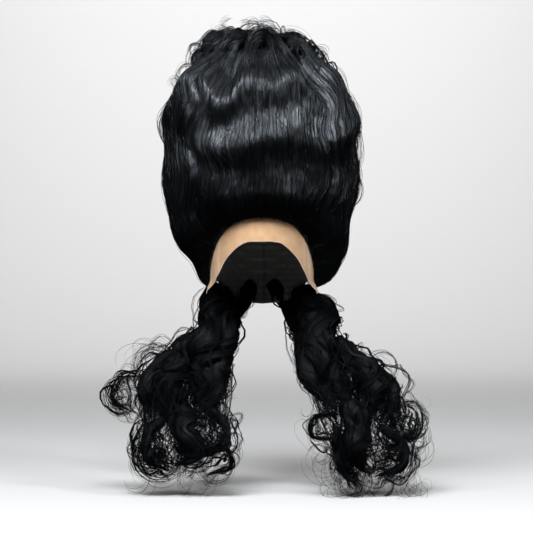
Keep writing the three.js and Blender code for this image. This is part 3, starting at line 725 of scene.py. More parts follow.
def net_material(finish):
    """Sheer flesh-toned net: fine open cells, denser where it is folded, dark where the hair roots."""
    shader = Shader("sheer_net")
    cells_per_metre = 900.0
    cells = shader.node(
        "ShaderNodeTexVoronoi",
        {"feature": "DISTANCE_TO_EDGE"},
        {"Vector": shader.flow((1, 1, 1)), "Scale": cells_per_metre, "Randomness": 0.35},
    )
    thread = 1 - cells.ramp(0.03, 0.16)
    dense = shader.third()
    cloudy = shader.noise(shader.flow((60, 60, 0)), detail=2.0)
    roots = (dense * -1.0).ramp(0.1, 0.8)
    open_share = thread * 0.3 + dense * 0.3 + cloudy * 0.12 + 0.6 + roots
    tone = shader.blend(cloudy * 0.5 + dense * 0.8, finish.net, finish.net_edge)
    return shader.finish(
        Base_Color=shader.blend(roots, tone, finish.hair_shade),
        Roughness=0.62 + thread * 0.1,
        Alpha=open_share,
        Normal=shader.bump(thread, 0.0002),
        Sheen_Weight=0.2,
        Sheen_Roughness=0.4,
    )


def cap_material(finish):
    """Matt stretch cloth with a fine knitted rib, painted lighter on its raised rib, stitches and wefts as a
    highlight.
    """
    shader = Shader("stretch_cap")
    ribs, stitches, painted_highlight_gain = 160.0, (1400, 900, 0), 4
    rib = shader.node(
        "ShaderNodeTexWave",
        {"bands_direction": "X"},
        {"Vector": shader.flow((1, 1, 0)), "Scale": ribs, "Distortion": 0.6},
    )
    weave = shader.noise(shader.flow(stitches), detail=2.0)
    # Painted highlight: the raised rib, stitches and weft rows are painted lighter, up to four times the
    # cap's colour, so that they show in the dim inside.
    light = weave * 0.3 + rib * 0.2 + shader.third() * 0.5
    return shader.finish(
        Base_Color=shader.blend(light, finish.cap, [c * painted_highlight_gain for c in finish.cap]),
        Roughness=0.72 + weave * 0.2,
        Normal=shader.bump(rib * 0.6 + weave * 0.4, 0.0004),
        Sheen_Weight=0.15,
    )


# Sides of a strand's tube.
STRAND_SIDES = 3


def strand_tree():
    """A node tree that turns polylines into closed thin tubes of their own radius."""
    tree = bpy.data.node_groups.new("wig_strands", "GeometryNodeTree")
    face = tree.interface
    face.new_socket("Geometry", in_out="INPUT", socket_type="NodeSocketGeometry")
    face.new_socket("Thickness", in_out="INPUT", socket_type="NodeSocketFloat")
    face.new_socket("Sides", in_out="INPUT", socket_type="NodeSocketInt")
    face.new_socket("Material", in_out="INPUT", socket_type="NodeSocketMaterial")
    face.new_socket("Geometry", in_out="OUTPUT", socket_type="NodeSocketGeometry")
    add, join = tree.nodes.new, tree.links.new
    inputs, outputs = add("NodeGroupInput"), add("NodeGroupOutput")
    lines, tubes = add("GeometryNodeMeshToCurve"), add("GeometryNodeCurveToMesh")
    profile = add("GeometryNodeCurvePrimitiveCircle")
    radius, scaled = add("GeometryNodeInputNamedAttribute"), add("ShaderNodeMath")
    real, soft = add("GeometryNodeRealizeInstances"), add("GeometryNodeSetShadeSmooth")
    paint = add("GeometryNodeSetMaterial")
    radius.data_type = "FLOAT"
    radius.inputs["Name"].default_value = "radius"
    scaled.operation = "MULTIPLY"
    profile.inputs["Radius"].default_value = 1.0
    tubes.inputs["Fill Caps"].default_value = True
    join(inputs.outputs["Geometry"], lines.inputs["Mesh"])
    join(inputs.outputs["Sides"], profile.inputs["Resolution"])
    join(radius.outputs["Attribute"], scaled.inputs[0])
    join(inputs.outputs["Thickness"], scaled.inputs[1])
    join(lines.outputs["Curve"], tubes.inputs["Curve"])
    join(profile.outputs["Curve"], tubes.inputs["Profile Curve"])
    join(scaled.outputs["Value"], tubes.inputs["Scale"])
    join(tubes.outputs["Mesh"], soft.inputs["Geometry"])
    join(soft.outputs["Geometry"], real.inputs["Geometry"])
    join(real.outputs["Geometry"], paint.inputs["Geometry"])
    join(inputs.outputs["Material"], paint.inputs["Material"])
    join(paint.outputs["Geometry"], outputs.inputs["Geometry"])
    return tree


def hair_piece(name, batches, thickness, finish, *nodes):
    """Joins batches of strands, each (points, radius, flow) with one row a strand, into one piece."""
    points, edges, radius, flow, start = [], [], [], [], 0
    for place, width, run in batches:
        count, steps = place.shape[:2]
        first = start + np.arange(count)[:, None] * steps + np.arange(steps - 1)[None, :]
        edges.append(np.stack([first, first + 1], -1).reshape(-1, 2))
        points.append(place.reshape(-1, 3))
        radius.append(np.broadcast_to(width, (count, steps)).ravel())
        flow.append(run.reshape(-1, 3))
        start += count * steps
    mesh = bpy.data.meshes.new(name)
    mesh.from_pydata(np.concatenate(points).tolist(), np.concatenate(edges).tolist(), [])
    attribute = mesh.attributes.new("radius", "FLOAT", "POINT")
    attribute.data.foreach_set("value", np.concatenate(radius).astype(np.float32))
    attribute = mesh.attributes.new("flow", "FLOAT_VECTOR", "POINT")
    attribute.data.foreach_set("vector", np.concatenate(flow).astype(np.float32).ravel())
    piece = bpy.data.objects.new(name, mesh)
    bpy.context.scene.collection.objects.link(piece)
    tree = bpy.data.node_groups.get("wig_strands") or strand_tree()
    tubes = piece.modifiers.new("strands", "NODES")
    tubes.node_group = tree
    sockets = {s.name: s.identifier for s in tree.interface.items_tree if s.in_out == "INPUT"}
    tubes[sockets["Thickness"]] = thickness
    tubes[sockets["Sides"]] = STRAND_SIDES
    tubes[sockets["Material"]] = material(finish)
    bpy.context.view_layer.update()
    graph = bpy.context.evaluated_depsgraph_get()
    solid = bpy.data.meshes.new_from_object(piece.evaluated_get(graph), depsgraph=graph)
    piece.modifiers.clear()
    piece.data = solid
    bpy.data.meshes.remove(mesh)
    if not solid.polygons:
        raise RuntimeError(f"{name} came out empty")
    return seat(piece, "hair", *nodes)


def strand_flow(rng, points):
    """Flow values of strands: a place of its own across, the run along, and a tint."""
    count, steps = points.shape[:2]
    run = np.linalg.norm(np.diff(points, axis=1), axis=-1)
    along = np.concatenate([np.zeros((count, 1)), np.cumsum(run, 1)], 1)
    across = np.broadcast_to(rng.uniform(0, 5, (count, 1)), (count, steps))
    tint = np.broadcast_to(rng.uniform(0, 1, (count, 1)) ** 2, (count, steps))
    return np.stack([across, along, tint], -1)


def tapered(steps, tip=0.25):
    """Shares of a strand's thickness along it, thin at its root and its tip."""
    root_run, tip_run = 0.12, 0.3
    t = np.linspace(0, 1, steps)
    return tip + (1 - tip) * np.minimum(1, np.minimum(t / root_run, (1 - t) / tip_run))


def material(name):
    return bpy.data.materials[name]


# Sections by node: seed, partings as (angle, sense of their winding) and columns of the mesh.
SECTION_NODES = {
    "beehive_front_swoop": (11, (-48, 1), (48, 1), 208),
    "beehive_left_wave": (23, (48, 1), (132, -1), 176),
    "beehive_back_sweep": (37, (132, -1), (228, -1), 176),
    "beehive_right_wave": (41, (228, -1), (312, 1), 176),
}
# Rows of a section's outside, and how many of its rows and columns make one of its inside.
COMB_ROWS, COARSE = 88, 8
# The third flow value of a mesh of hair, where strands have a tint of their own.
MESH_TINT = 0.3


def combed_sections(context):
    scene = context.scene
    return {
        name: CombedSection(scene.wig_form, scene.wig_hair, seed, first, last)
        for name, (seed, first, last, _) in SECTION_NODES.items()
    }


class WIG_OT_beehive(bpy.types.Operator):
    """Make the four combed sections of the beehive, each a closed shell with combed relief"""

    bl_idname = "wig.beehive"
    bl_label = "Beehive"

    def execute(self, context):
        for name, section in combed_sections(context).items():
            columns = SECTION_NODES[name][3]
            u, share = np.meshgrid(np.linspace(0, 1, columns + 1), comb_shares(COMB_ROWS))
            outer = section.point(u, share)
            inner = section.inner(u[::COARSE, ::COARSE], share[::COARSE, ::COARSE])
            count = outer.shape[0] * outer.shape[1]
            rows, few = COMB_ROWS // COARSE, columns // COARSE
            faces = grid_faces(COMB_ROWS, columns).tolist() + grid_faces(rows, few, count).tolist()
            faces += stitched(grid_loop(COMB_ROWS, columns), grid_loop(rows, few, count))
            run = np.stack([u * section.arc, share * section.RUN, np.full_like(u, MESH_TINT)], -1)
            flow = np.concatenate([run.reshape(-1, 3), run[::COARSE, ::COARSE].reshape(-1, 3)])
            points = np.concatenate([outer.reshape(-1, 3), inner.reshape(-1, 3)])
            piece = mesh_object(name + "_combed", points, faces, flow, material("combed_hair"))
            seat(piece, "hair", name)
        return {"FINISHED"}


def batch(rng, points, least, more, power, tip=0.25):
    """A batch of strands through points, most of them as thin as the least and a few thicker."""
    count, steps = points.shape[:2]
    thick = least + more * rng.uniform(0, 1, (count, 1)) ** power
    return points, tapered(steps, tip) * thick, strand_flow(rng, points)


def drawer(rng, count, bundle=1):
    """Draws one value a strand between two bounds, the same one for the strands of a bundle."""
    return lambda low, high: np.repeat(rng.uniform(low, high, (count // bundle, 1)), bundle, 0)


def spreader(rng, count):
    """Draws one value a strand round zero."""
    return lambda amount: rng.normal(0, amount, (count, 1))


def combed_batch(rng, section, count, steps, lift, longest, drift, from_rim):
    """Strands that follow a section's comb from lower to higher, rooted and ended in the hair."""
    draw = drawer(rng, count)
    highest, root_depth, clear = 0.05, 0.0009, 0.0002
    t = np.linspace(0, 1, steps)[None, :]
    low = draw(0.12, 1.0)
    low = np.where(draw(0, 1) < from_rim, 1.0, low)
    high = np.maximum(highest, low - draw(0.4, 1) * longest)
    share = low + (high - low) * t
    u = draw(0.01, 0.99) + rng.normal(0, drift, (count, 1)) * t
    sway = rng.normal(0, drift * 0.3, (count, 1))
    u = u + sway * np.sin(2 * np.pi * (t * draw(0.6, 2)))
    height = lift * draw(0, 1) ** 2 * np.sin(np.pi * t) ** 0.7
    rooted = root_depth * (1 - np.minimum(1, np.sin(np.pi * t) * 5))
    points = section.point(np.clip(u, 0, 1), share, clear + height - rooted)
    return batch(rng, points, least=0.9, more=1.2, power=2)


def swept(rng, form, angle, strands, steps):
    """A bundle of strands that spills from the crown's curls down over the beehive's front."""
    spread = spreader(rng, strands)
    t = np.linspace(0, 1, steps)[None, :]
    gathered, fanning, top, least = 0.75, 0.3, 0.994, 0.05
    winding, waves = rng.uniform(-12, 12), rng.uniform(0.7, 1.5)
    turn = angle * (gathered + fanning * t) + winding * np.sin(np.pi * t * waves)
    turn = turn + spread(2.4) + spread(2.0) * t
    level = top - rng.uniform(0.12, 0.3) * t**1.3 * np.exp(spread(0.12))
    lift = rng.uniform(0.7, 1.2) * np.sin(np.pi * (0.35 + 0.65 * t)) + spread(0.05)
    points = beehive_point(form, turn, level * form.beehive_height)
    points = points + outward_way(form, points) * np.maximum(lift, least)[..., None] * form.crown_girth
    return batch(rng, points, least=1, more=1, power=3, tip=0.5)


def bowed(rng, section, column, high, low, lift, count, steps):
    """A bundle of strands that stands off a section between two shares of its height."""
    spread = spreader(rng, count)
    t = np.linspace(0, 1, steps)[None, :]
    u = column + spread(0.03) + spread(0.02) * t
    share = high + spread(0.01) + (low - high) * t
    height = lift * (0.35 + rng.uniform(0, 1, (count, 1))) * np.sin(np.pi * t) ** 0.8
    points = section.point(u, share, height)
    return points, tapered(steps, 0.5) * 1.2, strand_flow(rng, points)


def rim_hairs(form, rng, section, count, steps):
    """Fine short hairs that rise from the net and run up into the combed hair."""
    draw = drawer(rng, count)
    furthest_below, rise, off_head, leaning, off_hair = 0.004, 0.012, 0.0018, 0.006, 0.0012
    s = np.linspace(0, 1, steps)[None, :]
    u = draw(0, 1) + rng.normal(0, 0.02, (count, 1)) * s
    u = np.clip(u, 0, 1)
    angle = section.angle_at(u, 0 * u)
    below = furthest_below * draw(0, 1) ** 2
    height = edge_height(form, HAIRLINE, angle) - below + rise * s
    low = head_point(form, angle, height, off_head + leaning * s)
    high = section.point(u, 0.985 - draw(0.02, 0.08) * s, off_hair)
    points = low + (high - low) * smooth(s, 0.25, 1)[..., None]
    return points, tapered(steps), strand_flow(rng, points)


class WIG_OT_combed_strands(bpy.types.Operator):
    """Lay single strands over the combed sections, some of them standing off"""

    bl_idname = "wig.combed_strands"
    bl_label = "Combed strands"

    def execute(self, context):
        form, hair = context.scene.wig_form, context.scene.wig_hair
        for name, section in combed_sections(context).items():
            rng = np.random.default_rng(SECTION_NODES[name][0] + 100)
            rim = rim_hairs(form, rng, section, hair.rim_hairs, steps=7)
            lying = combed_batch(
                rng, section, hair.combed_strands, 11, lift=0.0024, longest=0.32, drift=0.038, from_rim=0.2
            )
            loose = combed_batch(
                rng, section, hair.flyaways, 16, lift=0.008, longest=0.3, drift=0.05, from_rim=0.1
            )
            bows = [bowed(rng, section, *row[1:], steps=16) for row in BOWED if row[0] == name]
            batches = [lying, loose, rim, *bows]
            hair_piece(name + "_strands", batches, hair.strand_radius, "strand_hair")
        return {"FINISHED"}


def centripetal(points, t):
    """A smooth line through four points, its ends drawn on, at shares t from 0 to 1."""
    p = np.array([2 * points[0] - points[1], *points, 2 * points[-1] - points[-2]])
    at = np.clip(t, 0, 1) * (len(points) - 1)
    i = np.minimum(at.astype(int), len(points) - 2)
    w = (at - i)[:, None]
    a, b, c, d = p[i], p[i + 1], p[i + 2], p[i + 3]
    tiny = 1e-4
    before, run, after = (
        np.maximum(np.sqrt(np.linalg.norm(way, axis=1))[:, None], tiny) for way in (b - a, c - b, d - c)
    )
    into = ((b - a) / before - (c - a) / (before + run) + (c - b) / run) * run
    away = ((c - b) / run - (d - b) / (run + after) + (d - c) / after) * run
    return (
        (2 * w**3 - 3 * w**2 + 1) * b
        + (w**3 - 2 * w**2 + w) * into
        + (3 * w**2 - 2 * w**3) * c
        + (w**3 - w**2) * away
    )


class Lock:
    """The line and the fullness of one lock, with a frame that doesn't twist along it."""

    SAMPLES = 81

    def __init__(self, points, winding, turns, girth, end):
        t = np.linspace(0, 1, 4 * self.SAMPLES)
        spine = centripetal(np.array(points), t)
        tangent = np.gradient(spine, axis=0)
        tangent /= np.linalg.norm(tangent, axis=1, keepdims=True)
        side = np.cross((0, 1, 0), tangent)
        side /= np.linalg.norm(side, axis=1, keepdims=True)
        out = np.cross(tangent, side)
        turn = (2 * np.pi * turns * t)[:, None]
        reach = winding * np.sin(np.minimum(1, 2.5 * t) * np.pi / 2)[:, None]
        line = spine + side * reach * np.cos(turn) + out * reach * np.sin(turn)
        run = np.concatenate([[0], np.cumsum(np.linalg.norm(np.diff(line, axis=0), axis=1))])
        self.length = run[-1]
        even = np.linspace(0, self.length, self.SAMPLES)
        self.line = np.stack([np.interp(even, run, line[:, k]) for k in range(3)], -1)
        self.girth, self.end = girth, end
        self.inner_side = np.sign(self.line[:, 0].mean())
        self.frames()

    def frames(self):
        tangent = np.gradient(self.line, axis=0)
        tangent /= np.linalg.norm(tangent, axis=1, keepdims=True)
        normal = np.cross(tangent[0], (0.3, 0.2, 1))
        normals = []
        for way in tangent:
            normal = normal - way * np.dot(normal, way)
            normal = normal / np.linalg.norm(normal)
            normals.append(normal)
        self.tangent, self.normal = tangent, np.array(normals)
        self.binormal = np.cross(tangent, self.normal)

    def fullness(self, t):
        """The radius at share t: thinner at the root, swelling twice, easing to the end's."""
        at_root, grown, thin_from = 0.6, 0.35, 0.45
        swell = 1 + 0.1 * np.sin(4 * np.pi * t)
        full = swell * (at_root + (1 - at_root) * np.sin(np.minimum(1, t / grown) * np.pi / 2))
        return full * (self.girth + (self.end - self.girth) * smooth(t, thin_from, 1))

    def pick(self, values, t):
        at = np.clip(t, 0, 1) * (self.SAMPLES - 1)
        i = np.minimum(at.astype(int), self.SAMPLES - 2)
        w = (at - i)[..., None]
        return values[i] * (1 - w) + values[i + 1] * w

    def at(self, t, phi, reach):
        """Points at share t along, angle phi round and reach off the line, drawn on past the tip."""
        t, phi, reach = np.broadcast_arrays(t, phi, reach)
        beyond = (np.maximum(0, t - 1) + np.minimum(0, t))[..., None] * self.length
        middle = self.pick(self.line, t) + self.pick(self.tangent, t) * beyond
        round_it = (
            np.cos(phi)[..., None] * self.pick(self.normal, t)
            + np.sin(phi)[..., None] * self.pick(self.binormal, t)
        )
        return middle + round_it * reach[..., None]


def fall_place(form, side, shares):
    """A place in a fall by its out, forward and down shares from behind the ear."""
    fall_angle, fall_start = 126, 0.9
    start = head_point(form, side * fall_angle, -fall_start * form.tab_drop, form.cap_wall + form.clearance)
    return start + np.array(shares) * (side * form.fall_reach, -form.fall_forward, -form.fall_drop)


def fall_lock(form, name):
    side, root, bend, belly, tip, girth, end, wave, turns = FALLS[name]
    points = [fall_place(form, side, p) for p in (root, bend, belly, tip)]
    return Lock(points, wave * form.fall_wave, turns, girth * form.fall_girth, end * form.fall_girth)


def crown_lock(form, name):
    root, bend, belly, tip, girth, end, wave, turns = CROWN[name]
    points = []
    for angle, level, lift in (root, bend, belly, tip):
        point = beehive_point(form, angle, level * form.beehive_height)
        points.append(point + outward_way(form, point) * lift * form.crown_girth)
    return Lock(points, wave * form.crown_wave, turns, girth * form.crown_girth, end * form.crown_girth)


class Ringlet:
    """How a lock is curled: the way its hair winds and waves, and the grooves between its tresses."""

    def __init__(self, lock, rng, wind, wave_length, depth):
        self.lock, self.rng = lock, rng
        self.wind, self.depth = wind, depth
        self.waves = lock.length / wave_length
        self.start, self.phase = rng.uniform(0, 2 * np.pi, 2)
        around = 2 * np.pi
        self.lumps = Grain(rng, around / 3, 0.035, 3)
        self.tresses = Grain(rng, around / 9, 0.05, 9)
        self.locks = Grain(rng, around / 24, 0.04, 24)

    def turned(self, t):
        """How far the hair has turned round the line at share t."""
        swing = 0.55
        return self.start + self.wind * t + swing * np.sin(2 * np.pi * self.waves * t + self.phase)

    def relief(self, wound, t):
        run = t * self.lock.length
        bumps = 0.09 * self.lumps(wound, run)
        bumps = bumps + self.depth * (2 * np.abs(self.tresses(wound, run)) - 0.8)
        return bumps + 0.35 * self.depth * (2 * np.abs(self.locks(wound, run)) - 0.8)

    def core(self, share, around, along, blunt):
        """A closed tube grooved between the tresses, with rounded ends."""
        lock = self.lock
        t, phi = np.meshgrid(
            np.linspace(0, 1, along + 1), np.linspace(0, 2 * np.pi, around + 1)[:-1], indexing="ij"
        )
        wound = phi - self.turned(t)
        root_run, closed, least = 0.05, 0.999, 0.03
        ends = np.sqrt(1 - (1 - np.clip(t / root_run, 0, 1)) ** 2)
        ends = ends * np.sqrt(1 - smooth(t, 1 - blunt, 1.0) * closed)
        reach = lock.fullness(t) * share * (1 + self.relief(wound, t)) * np.maximum(ends, least)
        flow = np.stack([wound * lock.girth, t * lock.length, np.full_like(t, MESH_TINT)], -1)
        return lock.at(t, phi, reach), flow

    def core_object(self, name, share, around, along, blunt):
        points, flow = self.core(share, around, along, blunt)
        index = np.arange((along + 1) * around).reshape(along + 1, around)
        faces = ring_faces(index) + [index[0][::-1].tolist(), index[-1].tolist()]
        return mesh_object(name, points.reshape(-1, 3), faces, flow.reshape(-1, 3), material("loose_hair"))

    def strands(self, count, steps, share, fluff, past, bundle):
        """Strands in bundles that wind and wave with the core, a few thick: points, radius and flow."""
        rng, lock = self.rng, self.lock
        draw = drawer(rng, count, bundle)
        least, bundle_spread = 0.0005, 0.0011
        wander, at_tip, curling = 0.35, 0.3, 0.35
        s = np.linspace(0, 1, steps)[None, :]
        begin = draw(0, 0.75) - 0.01
        stop = np.minimum(begin + draw(0.25, 0.7), 1 + past * draw(-0.5, 1))
        t = begin + (stop - begin) * s
        wound = draw(0, 2 * np.pi) + wander * np.sin(2 * np.pi * s * draw(0.4, 1.5) + draw(0, 6))
        phi = wound + self.turned(t)
        over = fluff * draw(0, 1) ** 2 * np.sin(np.pi * s) ** 0.6 + at_tip * fluff * smooth(t, 0.8, 1.1)
        curl = curling * fluff * np.sin(2 * np.pi * s * draw(0.7, 2.1) + draw(0, 6)) * np.sin(np.pi * s)
        reach = lock.fullness(np.minimum(t, 1.0)) * share * (1 + self.relief(wound, t)) + over + curl
        points = lock.at(t, phi, np.maximum(reach, least))
        if bundle > 1:
            points = points + rng.normal(0, bundle_spread, (len(points), 1, 3)) * (0.6 + 0.8 * s[..., None])
        return points, tapered(steps) * (1 + 2 * draw(0, 1) ** 4), strand_flow(rng, points)


def between(rng, first, second, count, steps, fluff):
    """Wavy strands that fill the room between two locks."""
    draw = drawer(rng, count)
    furthest, wander = 1.04, 0.2
    s = np.linspace(0, 1, steps)[None, :]
    begin = draw(0, 0.6)
    t = begin + (np.minimum(begin + draw(0.3, 0.8), furthest) - begin) * s
    across = draw(0.1, 0.9) + wander * np.sin(2 * np.pi * s * draw(0.3, 1) + draw(0, 6))
    mix = np.clip(across, 0, 1)[..., None]
    phi = draw(0, 6.3) + draw(-3, 3) * s
    sides = []
    for lock in (first, second):
        reach = lock.fullness(np.minimum(t, 1)) * draw(0.2, 0.8)
        reach = reach + fluff * draw(0, 1) * np.sin(3 * np.pi * s + draw(0, 6))
        sides.append(lock.at(t, phi, reach))
    points = sides[0] * (1 - mix) + sides[1] * mix
    return batch(rng, points, least=1, more=2.4, power=3)


def within_reach(points):
    """Whether points stay within the solids' bounds, widened by a margin and a share of their size."""
    low, high = np.array(cad_box[0]), np.array(cad_box[1])
    margin, share = 0.009, 0.028
    room = margin + share * (high - low)
    flat = points.reshape(-1, 3)
    return bool((flat > low - room).all() and (flat < high + room).all())


def wisp_root(rng, lock):
    """Where a wisp parts from a lock, the way it leaves, the way it bends and the way its curl faces."""
    sunk, outwards, scatter, tilt, flattened = 0.8, 0.7, 0.25, 0.4, 0.8
    t, phi = rng.uniform(0.1, 1.0), rng.uniform(0, 2 * np.pi)
    reach = sunk * float(lock.fullness(np.array(t)))
    root = lock.at(np.array(t), np.array(phi), np.array(reach))
    away = root - lock.pick(lock.line, np.array(t))
    onwards = rng.uniform(0.5, 1.3) * lock.pick(lock.tangent, np.array(t))
    away = outwards * away / np.linalg.norm(away) + onwards
    away = away + rng.normal(0, scatter, 3)
    facing = np.array([rng.normal(0, tilt), 1, rng.normal(0, tilt)])
    away = away - facing * np.dot(away, facing) / np.dot(facing, facing) * flattened
    away /= np.linalg.norm(away)
    beside = np.cross(facing, away) * rng.choice((-1, 1))
    return root, away, beside / np.linalg.norm(beside), facing


def wisps(rng, lock, count, steps, size, bundle, longest, innermost=-1.0):
    """Bundles of strands that part from a lock and curl up, tighter towards their tips."""
    batches = []
    while len(batches) < count:
        strands = int(rng.integers(*bundle))
        root, away, beside, facing = wisp_root(rng, lock)
        radius = rng.uniform(*size)
        run = radius * rng.uniform(3, longest)
        spread = spreader(rng, strands)
        s = np.linspace(0, 1, steps)[None, :]
        straight, tight = rng.uniform(0.25, 0.7), 1.6
        bend = (straight + (tight - straight) * s) / (radius * np.exp(spread(0.15)))
        wave, waves, phase = rng.uniform(0, 0.8), rng.uniform(0.6, 1.6), rng.uniform(0, 6)
        bend = bend * (1 + wave * np.sin(2 * np.pi * s * waves + phase))
        step = run * np.exp(spread(0.12)) / (steps - 1)
        turn = spread(0.15) + np.cumsum(bend * step, 1) - rng.uniform(0.2, 1.2)
        x, y = np.cumsum(np.cos(turn) * step, 1), np.cumsum(np.sin(turn) * step, 1)
        lean = (rng.normal(0, 0.3) + spread(0.08)) * run * s
        root_spread = 0.002
        rooted = root + spread(root_spread)[..., None] * beside + spread(root_spread)[..., None] * facing
        points = rooted + x[..., None] * away + y[..., None] * beside + lean[..., None] * facing
        inwards = float((lock.inner_side * points[..., 0]).min())
        if within_reach(points) and inwards > innermost:
            batches.append(batch(rng, points, least=0.6, more=0.8, power=2, tip=0.35))
    return batches


def loop(rng, centre, side, radius, start, turns, strands, steps):
    """A bundle of strands round a centre, winding in, in a plane that faces nearly forwards."""
    spread = spreader(rng, strands)
    loosest, winding_in, narrow, slope, loose = 1.25, 0.45, 0.92, 0.35, 0.1
    s = np.linspace(0, 1, steps)[None, :]
    turn = np.radians(start) - 2 * np.pi * turns * (s + spread(0.04))
    wide = radius * (loosest - winding_in * s) * np.exp(spread(0.1)) + 0.002 * smooth(s, 0.6, 1) * spread(1)
    x = side * narrow * wide * np.cos(turn) + spread(loose * radius)
    z = wide * np.sin(turn) + spread(loose * radius)
    y = slope * radius * (s - 0.5) * rng.normal(0, 1) + spread(0.003) * (0.5 + s)
    points = np.asarray(centre) + np.stack(np.broadcast_arrays(x, y, z), -1)
    return batch(rng, points, least=0.7, more=1.1, power=3, tip=0.35)


class WIG_OT_crown_curls(bpy.types.Operator):
    """Make the curls on the crown: a grooved core each, wrapped in strands that end in loops"""

    bl_idname = "wig.crown_curls"
    bl_label = "Crown curls"

    def execute(self, context):
        form, hair = context.scene.wig_form, context.scene.wig_hair
        rng = np.random.default_rng(401)
        batches = []
        for name in CROWN:
            lock = crown_lock(form, name)
            ringlet = Ringlet(lock, rng, wind=3.0, wave_length=0.06, depth=0.16)
            core = ringlet.core_object(name + "_core", share=0.82, around=30, along=30, blunt=0.35)
            seat(core, "hair", name)
            batches.append(
                ringlet.strands(hair.crown_strands, 14, share=0.9, fluff=0.009, past=0.2, bundle=3)
            )
            batches += wisps(rng, lock, 6, 18, size=(0.006, 0.011), bundle=(5, 10), longest=5)
        spills, first, last = 15, -78, 82
        for angle in np.linspace(first, last, spills):
            batches.append(swept(rng, form, angle, strands=12, steps=13))
        for across, level, radius, start, turns, strands in CROWN_LOOPS:
            ahead = form.beehive_front * 0.25 * (1 - abs(across))
            centre = (
                across * form.beehive_half_width,
                form.beehive_lean - ahead,
                level * form.beehive_height,
            )
            side = 1 if across > 0 else -1
            batches.append(
                loop(rng, centre, side, radius * form.crown_girth, start, turns, strands, steps=20)
            )
        hair_piece("crown_strands", batches, hair.strand_radius, "strand_hair")
        return {"FINISHED"}


# Thickness of the filling and the wisps as shares of a strand's.
FILLING_THICK, WISP_THICK = 1.3, 0.8


class WIG_OT_falls(bpy.types.Operator):
    """Make the locks of both falls: a grooved core each, wrapped in wound and waved strands"""

    bl_idname = "wig.falls"
    bl_label = "Falls"

    def execute(self, context):
        form, hair = context.scene.wig_form, context.scene.wig_hair
        for side, seed in (("right", 503), ("left", 607)):
            rng = np.random.default_rng(seed)
            batches, bare = [], []
            locks = {name: fall_lock(form, name) for name in FALLS if name.startswith(side)}
            filling = []
            for first, second in FILLED:
                pair = locks[f"{side}_fall_{first}"], locks[f"{side}_fall_{second}"]
                filling.append(between(rng, *pair, hair.filling_strands, steps=13, fluff=0.004))
            hair_piece(side + "_fall_filling", filling, hair.strand_radius * FILLING_THICK, "loose_hair")
            for name, lock in locks.items():
                fullness = lock.girth / form.fall_girth
                ringlet = Ringlet(lock, rng, wind=2.4, wave_length=0.08, depth=0.24)
                dense, share, fluff = next(row for key, row in DENSE.items() if key in name)
                count = int(hair.fall_strands * share * max(0.3, fullness))
                batches.append(ringlet.strands(count, 15, share=0.92, fluff=fluff, past=0.14, bundle=4))
                if name.endswith("_curl"):
                    bare.append(name)
                    batches.append(ringlet.strands(count, 15, share=0.35, fluff=0.003, past=0.1, bundle=1))
                else:
                    core = ringlet.core_object(name + "_core", share=dense, around=36, along=40, blunt=0.3)
                    seat(core, "hair", name)
            hair_piece(side + "_fall_strands", batches, hair.strand_radius, "loose_hair", *bare)
        return {"FINISHED"}


class WIG_OT_wisps(bpy.types.Operator):
    """Make the wispy curls and loops that stand off the falls"""

    bl_idname = "wig.wisps"
    bl_label = "Wisps"

    def execute(self, context):
        form, hair = context.scene.wig_form, context.scene.wig_hair
        for side, sign, seed in (("right", -1, 709), ("left", 1, 811)):
            rng = np.random.default_rng(seed)
            names = [n for n in FALLS if n.startswith(side + "_fall") and n.endswith("lock")]
            batches = []
            for name in names:
                count = hair.wisp_count // len(names)
                batches += wisps(
                    rng, fall_lock(form, name), count, 22,
                    size=(0.011, 0.026), bundle=(3, 8), longest=6.5, innermost=0.036,
                )
            for row in (r for r in LOOSE_LOOPS if r[0] == sign):
                _, out, forward, down, radius, start, turns, strands = row
                centre = fall_place(form, sign, (out, forward, down))
                batches.append(
                    loop(rng, centre, sign, radius * form.fall_girth, start, turns, strands, steps=26)
                )
            hair_piece(side + "_fall_wisps", batches, hair.strand_radius * WISP_THICK, "loose_hair")
        return {"FINISHED"}


